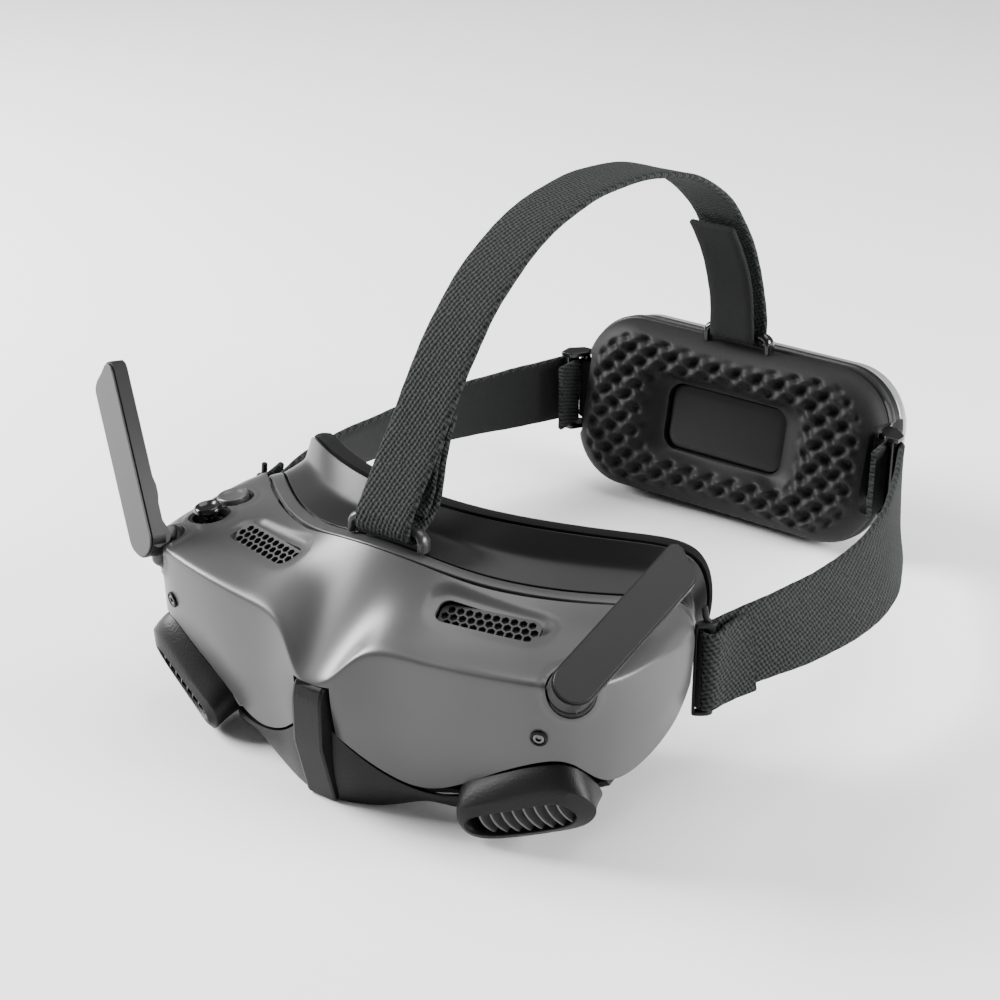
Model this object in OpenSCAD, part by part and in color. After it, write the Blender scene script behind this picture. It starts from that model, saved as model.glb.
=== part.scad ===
// Video goggles for drone flying: a curved front shell over two optics units,
// a flared face shroud, two folding antennas, a three-way elastic headband and
// a battery pack with a foam head pad at the back of the head.
// +X is the wearer's left side, +Y runs back to the battery, +Z is up. The part
// stands on z = 0 and its origin is the foot of the front keel.

/* [Shell] */
// Wall thickness of the front shell
shell_wall = 2; // [1.6:0.2:2.4]
// Gap between neighbouring fixed pieces
seam = 0.25; // [0.2:0.05:0.3]
// Length of each air intake grille
grille_len = 30; // [26:1:32]
// Width of each air intake grille
grille_w = 8; // [7:0.5:9]

/* [Optics] */
// Distance between the two eyepiece axes
eye_spacing = 64; // [60:1:66]
// Travel of each eyepiece to either side
eye_travel = 4; // [2:0.5:4]
// Outer radius of an eyepiece barrel
barrel_r = 15; // [14:0.5:15]

/* [Antennas] */
// Length from the hinge to the tip
antenna_len = 53; // [46:1:56]
// Width of the antenna paddle
antenna_w = 12.8; // [11:0.2:13.4]
// Angle of the folded antenna from its knuckle's axis
fold_angle = 111; // [100:1:114]
// Angle of the raised antenna from its knuckle's axis
raise_angle = 56; // [50:1:70]

/* [Headband] */
// Width of the top strap
top_strap_w = 20; // [18:1:24]
// Width of the side straps
side_strap_w = 26; // [22:1:28]
// Thickness of the webbing
strap_t = 2; // [1.6:0.1:2.2]

/* [Battery pack] */
// Half width of the pack
pack_half_w = 64; // [62:1:67]
// Half height of the pack
pack_half_h = 33; // [32:0.5:34]
// Backward lean of the pack
pack_lean = 12; // [8:1:14]

/* [Hidden] */

eps = 0.01;
keel_y = 7; // the keel's foot in the design frame, whose y = 0 is the foremost face
shell_grey = [0.52, 0.52, 0.53];
trim_grey = [0.19, 0.19, 0.20];
frame_grey = [0.42, 0.42, 0.43];
soft_grey = [0.28, 0.28, 0.29];
strap_grey = [0.16, 0.19, 0.18];
black = [0.05, 0.05, 0.05];

// ---------- spline walls ----------

function basis(t) = [pow(1 - t, 3), 3 * pow(t, 3) - 6 * t * t + 4, -3 * pow(t, 3) + 3 * t * t + 3 * t + 1, pow(t, 3)] / 6;
function blend4(a, b, c, d, w) = w[0] * a + w[1] * b + w[2] * c + w[3] * d;
function with_ends(p) = let (m = len(p) - 1) concat([2 * p[0] - p[1]], p, [2 * p[m] - p[m - 1]]);
// Open cubic spline through the first and last control points
function open_curve(p, n) =
    let (q = with_ends(p), m = len(p) - 1)
    concat(
        [for (i = [0:m - 1], k = [0:n - 1]) blend4(q[i], q[i + 1], q[i + 2], q[i + 3], basis(k / n))],
        [p[m]]
    );
// Closed cubic spline
function closed_curve(p, n) =
    let (m = len(p))
    [for (i = [0:m - 1], k = [0:n - 1])
        blend4(p[(i + m - 1) % m], p[i], p[(i + 1) % m], p[(i + 2) % m], basis(k / n))];
function rail(net, j) = [for (s = net) s[j]];
// Points [u][v] of a control net of stations
function net_points(net, nu, nv, closed) =
    let (rails = [for (j = [0:len(net[0]) - 1]) closed ? closed_curve(rail(net, j), nu) : open_curve(rail(net, j), nu)])
    [for (i = [0:len(rails[0]) - 1]) open_curve([for (r = rails) r[i]], nv)];
function flip_x(p) = [-p[0], p[1], p[2]];
function flip_station(s) = [for (p = s) flip_x(p)];
// Stations given from the middle out, mirrored to the other side
function both_sides(half) =
    let (m = len(half) - 1)
    concat([for (i = [m:-1:1]) flip_station(half[i])], half);
// Ring stations given from the top middle down one side to the bottom middle
function whole_ring(half) =
    let (m = len(half) - 1)
    concat(half, [for (i = [m - 1:-1:1]) flip_station(half[i])]);
function unit(v) = v / norm(v);
function inward(g, i, j, closed) =
    let (
        nu = len(g), nv = len(g[0]),
        ia = closed ? (i + nu - 1) % nu : max(i - 1, 0),
        ib = closed ? (i + 1) % nu : min(i + 1, nu - 1)
    )
    unit(cross(g[ib][j] - g[ia][j], g[i][min(j + 1, nv - 1)] - g[i][max(j - 1, 0)]));

// A curved wall of even thickness; cross(u, v) has to point into the body
module curved_wall(net, nu, nv, thick, closed = false) {
    g = net_points(net, nu, nv, closed);
    nu1 = len(g);
    nv1 = len(g[0]);
    m = nu1 * nv1;
    cols = closed ? nu1 - 1 : nu1 - 2;
    outer = [for (i = [0:nu1 - 1], j = [0:nv1 - 1]) g[i][j]];
    inner = [for (i = [0:nu1 - 1], j = [0:nv1 - 1]) g[i][j] + thick * inward(g, i, j, closed)];
    faces = concat(
        [for (i = [0:cols], j = [0:nv1 - 2]) let (a = i * nv1 + j, b = ((i + 1) % nu1) * nv1 + j)
            each [[a, b, b + 1], [a, b + 1, a + 1], [a + m, b + 1 + m, b + m], [a + m, a + 1 + m, b + 1 + m]]],
        [for (i = [0:cols]) let (a = i * nv1, b = ((i + 1) % nu1) * nv1)
            each [[a, a + m, b + m], [a, b + m, b]]],
        [for (i = [0:cols]) let (a = i * nv1 + nv1 - 1, b = ((i + 1) % nu1) * nv1 + nv1 - 1)
            each [[a, b, b + m], [a, b + m, a + m]]],
        closed ? [] : [for (j = [0:nv1 - 2]) each [[j, j + 1, j + 1 + m], [j, j + 1 + m, j + m]]],
        closed ? [] : [for (j = [0:nv1 - 2]) let (a = (nu1 - 1) * nv1 + j)
            each [[a, a + m, a + 1 + m], [a, a + 1 + m, a + 1]]]
    );
    polyhedron(points = concat(outer, inner), faces = faces);
}

// A solid through closed loops of equal length, from the first to the last
module loft(loops) {
    n = len(loops[0]);
    last = len(loops) - 1;
    first_mid = [for (k = [0:2]) sum(rail(loops[0], k)) / n];
    last_mid = [for (k = [0:2]) sum(rail(loops[last], k)) / n];
    top = n * (last + 1);
    polyhedron(
        points = concat([for (l = loops) each l], [first_mid, last_mid]),
        faces = concat(
            [for (i = [0:last - 1], j = [0:n - 1]) let (a = i * n + j, b = i * n + (j + 1) % n)
                each [[a, b, b + n], [a, b + n, a + n]]],
            [for (j = [0:n - 1]) [top, (j + 1) % n, j]],
            [for (j = [0:n - 1]) [top + 1, last * n + j, last * n + (j + 1) % n]]
        )
    );
}
function sum(v) = len(v) == 0 ? 0 : [for (i = 0, s = v[0]; i < len(v); i = i + 1, s = s + (i < len(v) ? v[i] : 0)) s][len(v) - 1];

// A flat band of webbing along a path; each point is [position, width direction]
module webbing(path, w, t) {
    n = len(path);
    rings = [for (i = [0:n - 1])
        let (
            p = path[i][0],
            along = unit(path[min(i + 1, n - 1)][0] - path[max(i - 1, 0)][0]),
            out = unit(cross(along, path[i][1])),
            across = unit(cross(out, along))
        )
        each [p + across * w / 2 + out * t / 2, p - across * w / 2 + out * t / 2,
              p - across * w / 2 - out * t / 2, p + across * w / 2 - out * t / 2]];
    polyhedron(
        points = rings,
        faces = concat(
            [for (i = [0:n - 2], k = [0:3]) let (a = i * 4 + k, b = i * 4 + (k + 1) % 4)
                each [[a, b + 4, b], [a, a + 4, b + 4]]],
            [[0, 1, 2, 3]],
            [[for (k = [3:-1:0]) (n - 1) * 4 + k]]
        )
    );
}

module placed() {
    translate([0, -keel_y, 0]) children();
}

module both() {
    children();
    mirror([1, 0, 0]) children();
}

// ---------- front shell ----------

// Each station runs over the top, over the brow and down the front:
// rear top edge, middle of the top, brow, middle of the front, lower edge
shell_rails = [
    [[0, 32, 72.5], [0, 17, 57.8], [0, 0, 41], [0, 2.5, 33], [0, 5, 25]],
    [[8, 32.4, 72], [7.5, 18, 58.3], [6, 1, 42.5], [8, 2.2, 33], [8.5, 3.5, 24.5]],
    [[15, 33.5, 71], [14, 20, 61], [13.5, 5.5, 53.5], [14.5, 4.5, 34], [14, 6.5, 18.5]],
    [[24, 35.5, 69], [23, 22, 62.5], [22, 8, 56], [22, 7.2, 34], [22, 9.5, 13.5]],
    [[33, 39.5, 66], [33, 25, 62], [32, 9, 56], [32, 9, 33], [31, 12, 10.8]],
    [[44, 46.5, 63.3], [45, 30, 61], [46, 10.5, 57], [45, 11, 35], [41, 14.5, 13.5]],
    [[55, 53.5, 61.8], [57, 36, 60.5], [59, 13, 57.5], [58, 14, 40], [55, 16, 23.5]],
    [[66, 62, 60.6], [69, 44, 60], [72, 16.5, 58], [70, 17, 43], [69, 18, 31.5]],
    [[73, 68.5, 60], [76.5, 52, 59.5], [80.5, 23, 57], [79, 22.5, 44], [78, 22, 33.5]],
    [[77, 72.5, 59.5], [81, 60, 58.5], [85.5, 36, 55], [85, 33, 39], [83, 31, 20.5]],
    [[80, 75, 58.7], [84, 68, 57], [87, 54, 54], [87, 51, 36], [84.5, 50, 20]],
    [[82.5, 76, 56], [85.5, 73, 54], [87, 69, 51], [87, 67, 40], [85.5, 66, 26.5]],
    [[84, 75.5, 53], [85.5, 74, 50.5], [86, 73, 48], [86, 72.5, 42], [85.8, 72, 36.5]]
];
brow_round = 0.16;
// Control points are added beside the brow and half way along each span
function shell_station(s) = [
    s[0], (s[0] + s[1]) / 2, s[1], s[2] + brow_round * 1.6 * (s[1] - s[2]), s[2],
    s[2] + brow_round * (s[3] - s[2]), s[3], (s[3] + s[4]) / 2, s[4]
];
shell_net = both_sides([for (s = shell_rails) shell_station(s)]);

grille_at = [41.8, 32.1, 60.2];
grille_turn = [25.6, 1, 14.8];
screw_at = [69.2, 17.7, 39.5];
screw_turn = [95.7, 0, 21.7];
stick_at = [-73, 40, 59.2];
stick_turn = [3.5, -7, 0];
back_button_at = [-74.5, 53, 59.3];
control_r = 6.6;
button_r = 5.2;
hinge_at = [78.9, 19, 58.2];
hinge_turn = [45, 29.7, 6.7];
knuckle_r = 7;
keel_half_w = 5.5;

module at_grille() {
    translate(grille_at) rotate(grille_turn) children();
}

module at_hinge() {
    translate(hinge_at) rotate(hinge_turn) children();
}

module rounded_slab(l, w, r, h) {
    linear_extrude(h, center = true) {
        square([l - 2 * r, w], center = true);
        square([l, w - 2 * r], center = true);
        for (sx = [-1, 1], sy = [-1, 1])
            translate([sx * (l / 2 - r), sy * (w / 2 - r)]) circle(r, $fn = 24);
    }
}

module front_shell() {
    color(shell_grey) placed() difference() {
        curved_wall(shell_net, 2, 2, shell_wall);
        both() at_grille() rounded_slab(grille_len + 1, grille_w + 1, 3.2, 14);
        both() at_hinge() translate([0, 0, -12]) cylinder(r = knuckle_r + seam, h = 24, center = true, $fn = 48);
        both() translate(screw_at) rotate(screw_turn) cylinder(r = 1.9, h = 16, center = true, $fn = 24);
        translate(stick_at) rotate(stick_turn) cylinder(r = control_r + seam, h = 16, center = true, $fn = 40);
        translate(back_button_at) rotate(stick_turn) cylinder(r = control_r + seam, h = 16, center = true, $fn = 40);
        translate([-keel_half_w - 1.2, -10, 15]) cube([2 * keel_half_w + 2.4, 24, 26.4]);
    }
}

// ---------- lower trim, pods, belly ----------

trim_stations = [
    [[5.8, 3.7, 25], [5.8, 3, 13], [5.8, 6, 0.6]],
    [[10, 4.7, 20.8], [11, 4.5, 12], [12, 8, 0.4]],
    [[17, 8, 14.8], [18, 8, 9], [19, 10.8, 1]],
    [[25, 10.3, 11.2], [26, 10.2, 8], [26, 12.4, 3.8]],
    [[32, 12.3, 10], [32.5, 12.1, 8.6], [32.5, 13.8, 6.8]],
    [[38, 14, 10], [38, 13.4, 8.6], [38.5, 15, 6.6]],
    [[43, 16.5, 10.5], [43, 16, 8.6], [43.5, 17.5, 6]]
];
trim_wall = 2.2;
keel_profile = [
    [1.4, 40.8], [0.2, 40.4], [-0.7, 37.5], [-1, 36], [-1, 21], [4.6, 0], [11, 0], [11.5, 12], [9, 24], [8, 40.8]
];

module keel() {
    rotate([90, 0, 90]) linear_extrude(2 * keel_half_w, center = true) polygon(keel_profile);
}

module lower_trim() {
    color(trim_grey) placed() {
        keel();
        both() difference() {
            curved_wall(trim_stations, 3, 3, trim_wall);
            translate([0, 0, -20]) cube([12, 80, 120], center = true);
        }
    }
}

pod_seam = [
    [42.6, 15.4, 12], [44.4, 15, 17], [51, 15.9, 20.2], [60, 17, 25.2], [70, 19.4, 30.4], [76, 21.7, 31.2],
    [79.5, 25.5, 28.5], [82, 31.5, 20.2], [80, 36, 13], [68, 34, 8], [56, 30, 4.5], [46, 22, 5]
];
pod_rim = [
    [45.4, 9.6, 8.6], [47.4, 9, 12.6], [55, 10.8, 15.6], [65, 13.4, 20.4], [75, 16.4, 25], [80.5, 19, 25],
    [84.6, 22.8, 21], [85, 25, 16.4], [81.5, 24.8, 10.8], [74, 22, 7.6], [57, 15.8, 1.2], [48.4, 11.4, 1]
];
vent_lip = [
    [49, 8.8, 6.6], [50.4, 8.9, 9.9], [56, 10.6, 12.2], [65, 12.9, 16.2], [74, 15.4, 20.4], [78.2, 17.3, 20.6],
    [80.8, 19.8, 17.6], [80.6, 21, 14.6], [77.6, 20.9, 11.2], [71, 18.8, 8.4], [58, 14.4, 3.6], [51, 10.6, 3.4]
];
vent_dir = [-0.34, 0.92, 0.21]; // from the vent face into the pod
pod_points = 3;
function shifted(l, v) = [for (p = l) p + v];
function toward(l, c, f) = [for (p = l) p + f * (c - p)];
pod_mid = [65, 22, 15];

module pod() {
    difference() {
        loft([
            closed_curve(pod_seam, pod_points),
            closed_curve([for (i = [0:len(pod_seam) - 1]) 0.35 * pod_seam[i] + 0.65 * pod_rim[i] + [0, -1.2, 0.6]], pod_points),
            closed_curve(pod_rim, pod_points),
            closed_curve(vent_lip, pod_points)
        ]);
        vent_space(0);
    }
}

// The vent's hollow, drawn in by a gap
module vent_space(gap) {
    loft([
        closed_curve(shifted(toward(vent_lip, pod_mid, 0.1 + gap / 8), (7 - gap) * vent_dir), pod_points),
        closed_curve(shifted(toward(vent_lip, [65, 14.5, 12], 0.04 + gap / 8), (gap - 0.6) * vent_dir), pod_points)
    ]);
}

module outlet_pods() {
    color(trim_grey) placed() both() pod();
}

louvre_count = 7;
louvre_pitch = 3.7;
louvre_size = [0.8, 4.2, 9.4];

module louvres() {
    translate([65.2, 17.2, 12]) rotate([12, -18, 21])
        for (i = [0:louvre_count - 1])
            translate([(i - (louvre_count - 1) / 2) * louvre_pitch, 0, 0])
                rotate([0, -26, 0]) cube(louvre_size, center = true);
}

module outlet_louvres() {
    color(trim_grey) placed() both() intersection() {
        louvres();
        vent_space(0.35);
    }
}

belly_stations = [
    [[0, 12.6, 2.6], [0, 26, 22], [0, 41, 38.6]],
    [[10, 12.5, 2], [10, 27, 16], [11, 42, 34]],
    [[20, 14.5, 3.6], [21, 28, 9], [22, 44, 21.4]],
    [[30, 18, 6.6], [31, 32, 10], [33, 46.5, 17]],
    [[44, 24.5, 7], [45, 37, 11], [46, 50.5, 17.2]],
    [[56, 33.5, 6.5], [57, 43, 13], [58, 55.4, 18.4]],
    [[68, 38, 9.6], [69, 49, 15.6], [69, 60.4, 20.6]],
    [[78.5, 40.5, 15], [78.5, 54, 18.6], [78, 66.5, 24.2]]
];
knob_y = 37;

module belly_cover() {
    color(trim_grey) placed() difference() {
        curved_wall(both_sides(belly_stations), 2, 4, 1.8);
        for (s = [-1, 1]) translate([s * eye_spacing / 2, knob_y, 10]) {
            cube([2 * eye_travel, 5.4, 24], center = true);
            for (e = [-1, 1]) translate([e * eye_travel, 0, 0]) cylinder(r = 2.7, h = 24, center = true, $fn = 32);
        }
    }
}

// ---------- grilles and screws ----------

hex_r = 0.86;
hex_web = 0.34;
grille_rows = 4;
hex_pitch = 2 * hex_r * cos(30) + hex_web;

module grille() {
    at_grille() difference() {
        union() {
            rounded_slab(grille_len + 0.5, grille_w + 0.5, 3, 1);
            translate([0, 0, -1.4]) difference() {
                rounded_slab(grille_len + 0.5, grille_w + 0.5, 3, 2);
                rounded_slab(grille_len - 1.5, grille_w - 1.5, 2.4, 4.6);
            }
        }
        linear_extrude(3, center = true)
            for (r = [0:grille_rows - 1], c = [-8:8])
                translate([(c + (r % 2) / 2 - 0.25) * hex_pitch, (r - (grille_rows - 1) / 2) * hex_pitch * cos(30)])
                    if (abs(c + (r % 2) / 2 - 0.25) * hex_pitch < grille_len / 2 - 1.6 - (r == 0 || r == 3 ? 1 : 0))
                        rotate(30) circle(hex_r, $fn = 6);
    }
}

module intake_grille_right() {
    color(trim_grey) placed() grille();
}

module intake_grille_left() {
    color(trim_grey) placed() mirror([1, 0, 0]) grille();
}

screw_head_r = 1.75;

module shell_screw() {
    translate(screw_at) rotate(screw_turn) translate([0, 0, -1.2]) difference() {
        union() {
            cylinder(r = screw_head_r, h = 1.4, $fn = 32);
            translate([0, 0, -7]) cylinder(r = 1, h = 7.2, $fn = 24);
        }
        translate([0, 0, 0.7]) cylinder(r = 0.8, h = 2, $fn = 6);
    }
}

module shell_screws() {
    color([0.6, 0.6, 0.6]) placed() both() shell_screw();
}

// ---------- rear frame, shroud, foam ----------

// Rings from the top middle down the side to the bottom middle: [back edge, front edge]
frame_front = [
    [0, 33.2, 72.4], [15, 34.7, 70.9], [33, 40.8, 65.8], [55, 54.8, 61.5], [73, 70, 59.6], [80.6, 77, 57.2],
    [84, 78, 50], [84.4, 75.6, 38], [82, 70, 28], [72, 63, 22.4], [55, 55, 19.2], [38, 49.4, 17.6],
    [24, 45.6, 22], [12.5, 43, 34], [0, 42, 39]
];
frame_depth = 4.4;
frame_stations = [for (p = frame_front) [p + [-0.025 * p[0], frame_depth, 0.2], p + [-0.012 * p[0], frame_depth / 2, 0.3], p]];

module rear_frame() {
    color(frame_grey) placed() curved_wall(whole_ring(frame_stations), 3, 1, 2.6, closed = true);
}

lip_ring = [
    [0, 60, 75.6], [16, 61, 75.4], [34, 65.5, 74.9], [54, 75.5, 73], [69.5, 87, 70.6], [75.8, 93, 64.5],
    [77, 96, 53], [76.5, 95.5, 41], [73, 91, 29], [65, 83, 19], [52, 74.5, 12], [37, 67, 9.6],
    [23, 61, 17], [12, 57, 30], [0, 55, 37]
];
shroud_root = [for (s = frame_stations) s[0] + [-0.006 * s[0][0], 0.45, 0]];
function flare(root, lip) =
    let (centre = [0, (root[1] + lip[1]) / 2, 45], mid = (root + lip) / 2, pull = unit(centre - mid))
    mid + 3.2 * pull;
shroud_stations = [for (i = [0:len(lip_ring) - 1])
    [lip_ring[i], 0.2 * lip_ring[i] + 0.8 * flare(shroud_root[i], lip_ring[i]), flare(shroud_root[i], lip_ring[i]), shroud_root[i]]];

module face_shroud() {
    color(soft_grey) placed() curved_wall(whole_ring(shroud_stations), 3, 2, 1.6, closed = true);
}

foam_depth = 6.5;
foam_stations = [for (p = lip_ring) [p + [-0.03 * p[0], foam_depth, -0.4], p + [0, foam_depth / 2 + 0.8, 0.2], p + [0, 1.7, 0]]];

module face_foam() {
    color(black) placed() curved_wall(whole_ring(foam_stations), 3, 1, 6, closed = true);
}

// ---------- optics ----------

plate_y = 47;
plate_t = 1.8;
plate_outline = [
    [0, 66.5], [14, 65.5], [30, 59.5], [46, 56.5], [60, 53.5], [66, 47.5], [74, 41], [75, 34], [66, 27], [52, 23.5], [36, 22],
    [25, 26], [14, 38], [7, 43.6], [0, 44.5]
];
eye_z = 41;

module lens_plate() {
    color(trim_grey) placed() translate([0, plate_y + plate_t, 0]) rotate([90, 0, 0]) linear_extrude(plate_t) difference() {
        polygon(concat(plate_outline, [for (i = [len(plate_outline) - 2:-1:1]) [-plate_outline[i][0], plate_outline[i][1]]]));
        for (s = [-1, 1]) translate([s * eye_spacing / 2, eye_z]) {
            square([2 * eye_travel, 2 * barrel_r + 0.8], center = true);
            for (e = [-1, 1]) translate([e * eye_travel, 0]) circle(barrel_r + 0.4, $fn = 64);
        }
    }
}

rod_y = 27;
rod_r = 1.25;
rod_z = [28.4, 52.4];

module guide_rods() {
    color([0.7, 0.7, 0.7]) placed() for (z = rod_z)
        translate([0, rod_y, z]) rotate([0, 90, 0]) cylinder(r = rod_r, h = 112, center = true, $fn = 24);
}

module at_eye(side) {
    translate([side * eye_spacing / 2, 0, eye_z]) children();
}

barrel_wall = 1.6;
lens_cell_r = barrel_r - barrel_wall - 0.06;
lens_r = lens_cell_r - 1.7;
knob_pin_r = 1.6;
foot_z = -21.8; // underside of the carriage's foot, from the eye axis
knob_boss_r = 2.7;
nose_relief_angle = 40; // the barrel is cut away towards the nose, so that it clears the rear frame
nose_relief_y = 42.6;
nose_relief_depth = 12;

module carriage(side) {
    at_eye(side) {
        difference() {
            rotate([-90, 0, 0]) translate([0, 0, 29.6]) cylinder(r = barrel_r, h = 20.6, $fn = 64);
            rotate([-90, 0, 0]) translate([0, 0, 28]) cylinder(r = barrel_r - barrel_wall, h = 30, $fn = 64);
            rotate([0, side * nose_relief_angle, 0]) translate([-12, nose_relief_y, -barrel_r - 3])
                cube([24, 10, barrel_r + 3 - nose_relief_depth]);
        }
        difference() {
            translate([-13.5, 24.4, -16]) cube([27, 5.2, 29.4]);
            rotate([-90, 0, 0]) translate([0, 0, 20]) cylinder(r = 9.4, h = 20, $fn = 48);
            for (z = rod_z) translate([0, rod_y, z - eye_z]) rotate([0, 90, 0])
                cylinder(r = rod_r + 0.05, h = 60, center = true, $fn = 24);
        }
        difference() {
            union() {
                translate([-3.6, 24.6, foot_z]) cube([7.2, knob_y - 25.6, 6.2]);
                translate([0, knob_y, foot_z]) cylinder(r = knob_boss_r, h = 6.2, $fn = 32);
            }
            translate([0, knob_y, foot_z - 1]) cylinder(r = knob_pin_r + 0.05, h = 5.2, $fn = 24);
        }
    }
}

module carriage_left() {
    color(black) placed() carriage(-1);
}

module carriage_right() {
    color(black) placed() carriage(1);
}

module display(side) {
    at_eye(side) {
        translate([-10.5, 22, -10]) cube([21, 2.35, 20]);
        translate([-7, 24.35, -5.5]) cube([14, 0.8, 11]);
    }
}

module display_left() {
    color([0.1, 0.1, 0.12]) placed() display(-1);
}

module display_right() {
    color([0.1, 0.1, 0.12]) placed() display(1);
}

cell_y = 38;

module lens_cell(side) {
    at_eye(side) rotate([-90, 0, 0]) translate([0, 0, cell_y]) difference() {
        cylinder(r = lens_cell_r, h = 7, $fn = 64);
        translate([0, 0, 1.2]) cylinder(r = lens_r + 0.02, h = 6.5, $fn = 64);
        translate([0, 0, -1]) cylinder(r = lens_r - 1, h = 9, $fn = 64);
    }
}

module lens_cell_left() {
    color(black) placed() lens_cell(-1);
}

module lens_cell_right() {
    color(black) placed() lens_cell(1);
}

lens_bulge = 1.5;

module lens(side) {
    arc_r = (pow(lens_r, 2) + pow(lens_bulge, 2)) / (2 * lens_bulge);
    at_eye(side) rotate([-90, 0, 0]) translate([0, 0, cell_y + 1.25]) rotate_extrude($fn = 64)
        polygon(concat([[0, 0], [lens_r, 0], [lens_r, 2.6]],
            [for (i = [1:6]) let (x = lens_r * (1 - i / 6)) [x, 2.6 + sqrt(arc_r * arc_r - x * x) - arc_r + lens_bulge]]));
}

module lens_left() {
    color([0.6, 0.7, 0.75, 0.4]) placed() lens(-1);
}

module lens_right() {
    color([0.6, 0.7, 0.75, 0.4]) placed() lens(1);
}

knob_h = 4.6;
knob_drop = 11; // from the carriage's foot down to the knob

module eye_knob(side) {
    translate([side * eye_spacing / 2, knob_y, eye_z + foot_z]) {
        translate([0, 0, -knob_drop]) cylinder(r = knob_pin_r, h = knob_drop + 3.8, $fn = 24);
        translate([0, 0, -knob_drop - knob_h]) difference() {
            cylinder(r = 6, h = knob_h, $fn = 48);
            for (a = [0:30:330]) rotate(a) translate([6.5, 0, -1]) cylinder(r = 0.9, h = knob_h + 2, $fn = 16);
        }
    }
}

module eye_knob_left() {
    color(soft_grey) placed() eye_knob(-1);
}

module eye_knob_right() {
    color(soft_grey) placed() eye_knob(1);
}

// ---------- electronics ----------

module main_board() {
    color([0.1, 0.3, 0.18]) placed() translate([-50, 19.4, 24]) cube([100, 1.4, 28]);
}

fan_at = [0, 15.6, 36.5];
fan_half = 13;

module fan_housing() {
    color(black) placed() translate(fan_at) rotate([90, 0, 0]) difference() {
        cube([2 * fan_half, 2 * fan_half, 6.4], center = true);
        translate([0, 0, -2.2]) cylinder(r = fan_half - 1.2, h = 9, $fn = 64);
        translate([0, 0, -5]) cylinder(r = 1.05, h = 6, $fn = 24);
    }
}

module fan_rotor() {
    color([0.15, 0.15, 0.16]) placed() translate(fan_at) rotate([90, 0, 0]) {
        translate([0, 0, -1.8]) cylinder(r = 4.2, h = 4.4, $fn = 40);
        translate([0, 0, -3.1]) cylinder(r = 1, h = 2, $fn = 24);
        for (a = [0:40:320]) rotate(a) translate([3.8, -0.35, -1.6]) cube([7.4, 0.7, 3.9]);
    }
}

module card_socket() {
    color([0.6, 0.6, 0.6]) placed() translate([33, 16.6, 31]) difference() {
        cube([14, 2.6, 15]);
        translate([1.2, 0.7, -1]) cube([11.6, 1.2, 14]);
    }
}

// ---------- antennas ----------

hub_r = 4.5;
pin_r = 1.25;
tongue_w = 4.4;
tongue_r = 2.4;
knuckle_top = -5.5;

module knuckle() {
    at_hinge() {
        difference() {
            translate([0, 0, -13]) cylinder(r = knuckle_r, h = 13 + knuckle_top, $fn = 64);
            translate([0, 0, -14]) cylinder(r = 3.4, h = 5, $fn = 32);
        }
        difference() {
            union() {
                translate([-tongue_w / 2, -tongue_r, knuckle_top - 0.5]) cube([tongue_w, 2 * tongue_r, 0.5 - knuckle_top]);
                rotate([0, 90, 0]) cylinder(r = tongue_r, h = tongue_w, center = true, $fn = 40);
            }
            rotate([0, 90, 0]) cylinder(r = pin_r, h = 10, center = true, $fn = 32);
        }
    }
}

module knuckle_left() {
    color(trim_grey) placed() mirror([1, 0, 0]) knuckle();
}

module knuckle_right() {
    color(trim_grey) placed() knuckle();
}

module hinge_pins() {
    color([0.7, 0.7, 0.7]) placed() both() at_hinge() rotate([0, 90, 0])
        cylinder(r = pin_r, h = antenna_w - 2, center = true, $fn = 32);
}

paddle_back = 1.9;
paddle_front = -2.9;
tip_r = 3;

// Outline of the paddle, with a rounded foot and a slanting tip, drawn in by a margin
module paddle_outline(margin) {
    w = antenna_w / 2 - margin;
    circle(w, $fn = 64);
    translate([-w, 0]) square([2 * w, antenna_len - 6]);
    polygon([[-w, antenna_len - 7], [w, antenna_len - 7], [w, antenna_len - 3.5 - margin], [w - 2, antenna_len - 1.6 - margin],
        [-w + 4, antenna_len + 2.4 - margin], [-w + 1, antenna_len + 2 - margin], [-w, antenna_len - margin]]);
}

module in_antenna(angle) {
    at_hinge() rotate([-angle, 0, 0]) children();
}

module slab_from(y0, y1) {
    translate([0, y1, 0]) rotate([90, 0, 0]) linear_extrude(y1 - y0) children();
}

// The hub is slotted for the knuckle's tongue over the whole swing
module antenna_body(angle) {
    slot_w = tongue_w + 0.6;
    in_antenna(angle) difference() {
        union() {
            slab_from(paddle_front, paddle_back) paddle_outline(0);
            rotate([0, 90, 0]) cylinder(r = hub_r, h = antenna_w - 1, center = true, $fn = 48);
            rotate([90, 0, 90]) linear_extrude(antenna_w - 3.4, center = true)
                polygon([[0, 0], [3.4, 1], [2.5, 4], [2.1, 7], [2.5, 9.6], [3.2, 12], [3.2, 15], [paddle_back, 19.5], [0, 19.5]]);
        }
        translate([-10, paddle_front - 10, -10]) cube([20, 10, 20]);
        rotate([0, 90, 0]) cylinder(r = pin_r + 0.05, h = antenna_w - 1.6, center = true, $fn = 32);
        rotate([90, 0, 90]) linear_extrude(slot_w, center = true) {
            circle(tongue_r + 0.3, $fn = 48);
            for (k = [0:10]) rotate(raise_angle + (fold_angle - raise_angle) * k / 10 - 90)
                translate([0, -tongue_r - 0.4]) square([12, 2 * tongue_r + 0.8]);
        }
    }
}

module antenna_plate(angle) {
    in_antenna(angle) slab_from(paddle_front - 0.7, paddle_front - 0.02) paddle_outline(0.7);
}

module antenna_body_left() {
    color(trim_grey) placed() mirror([1, 0, 0]) antenna_body(raise_angle);
}

module antenna_plate_left() {
    color(frame_grey) placed() mirror([1, 0, 0]) antenna_plate(raise_angle);
}

module antenna_body_right() {
    color(trim_grey) placed() antenna_body(fold_angle);
}

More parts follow.
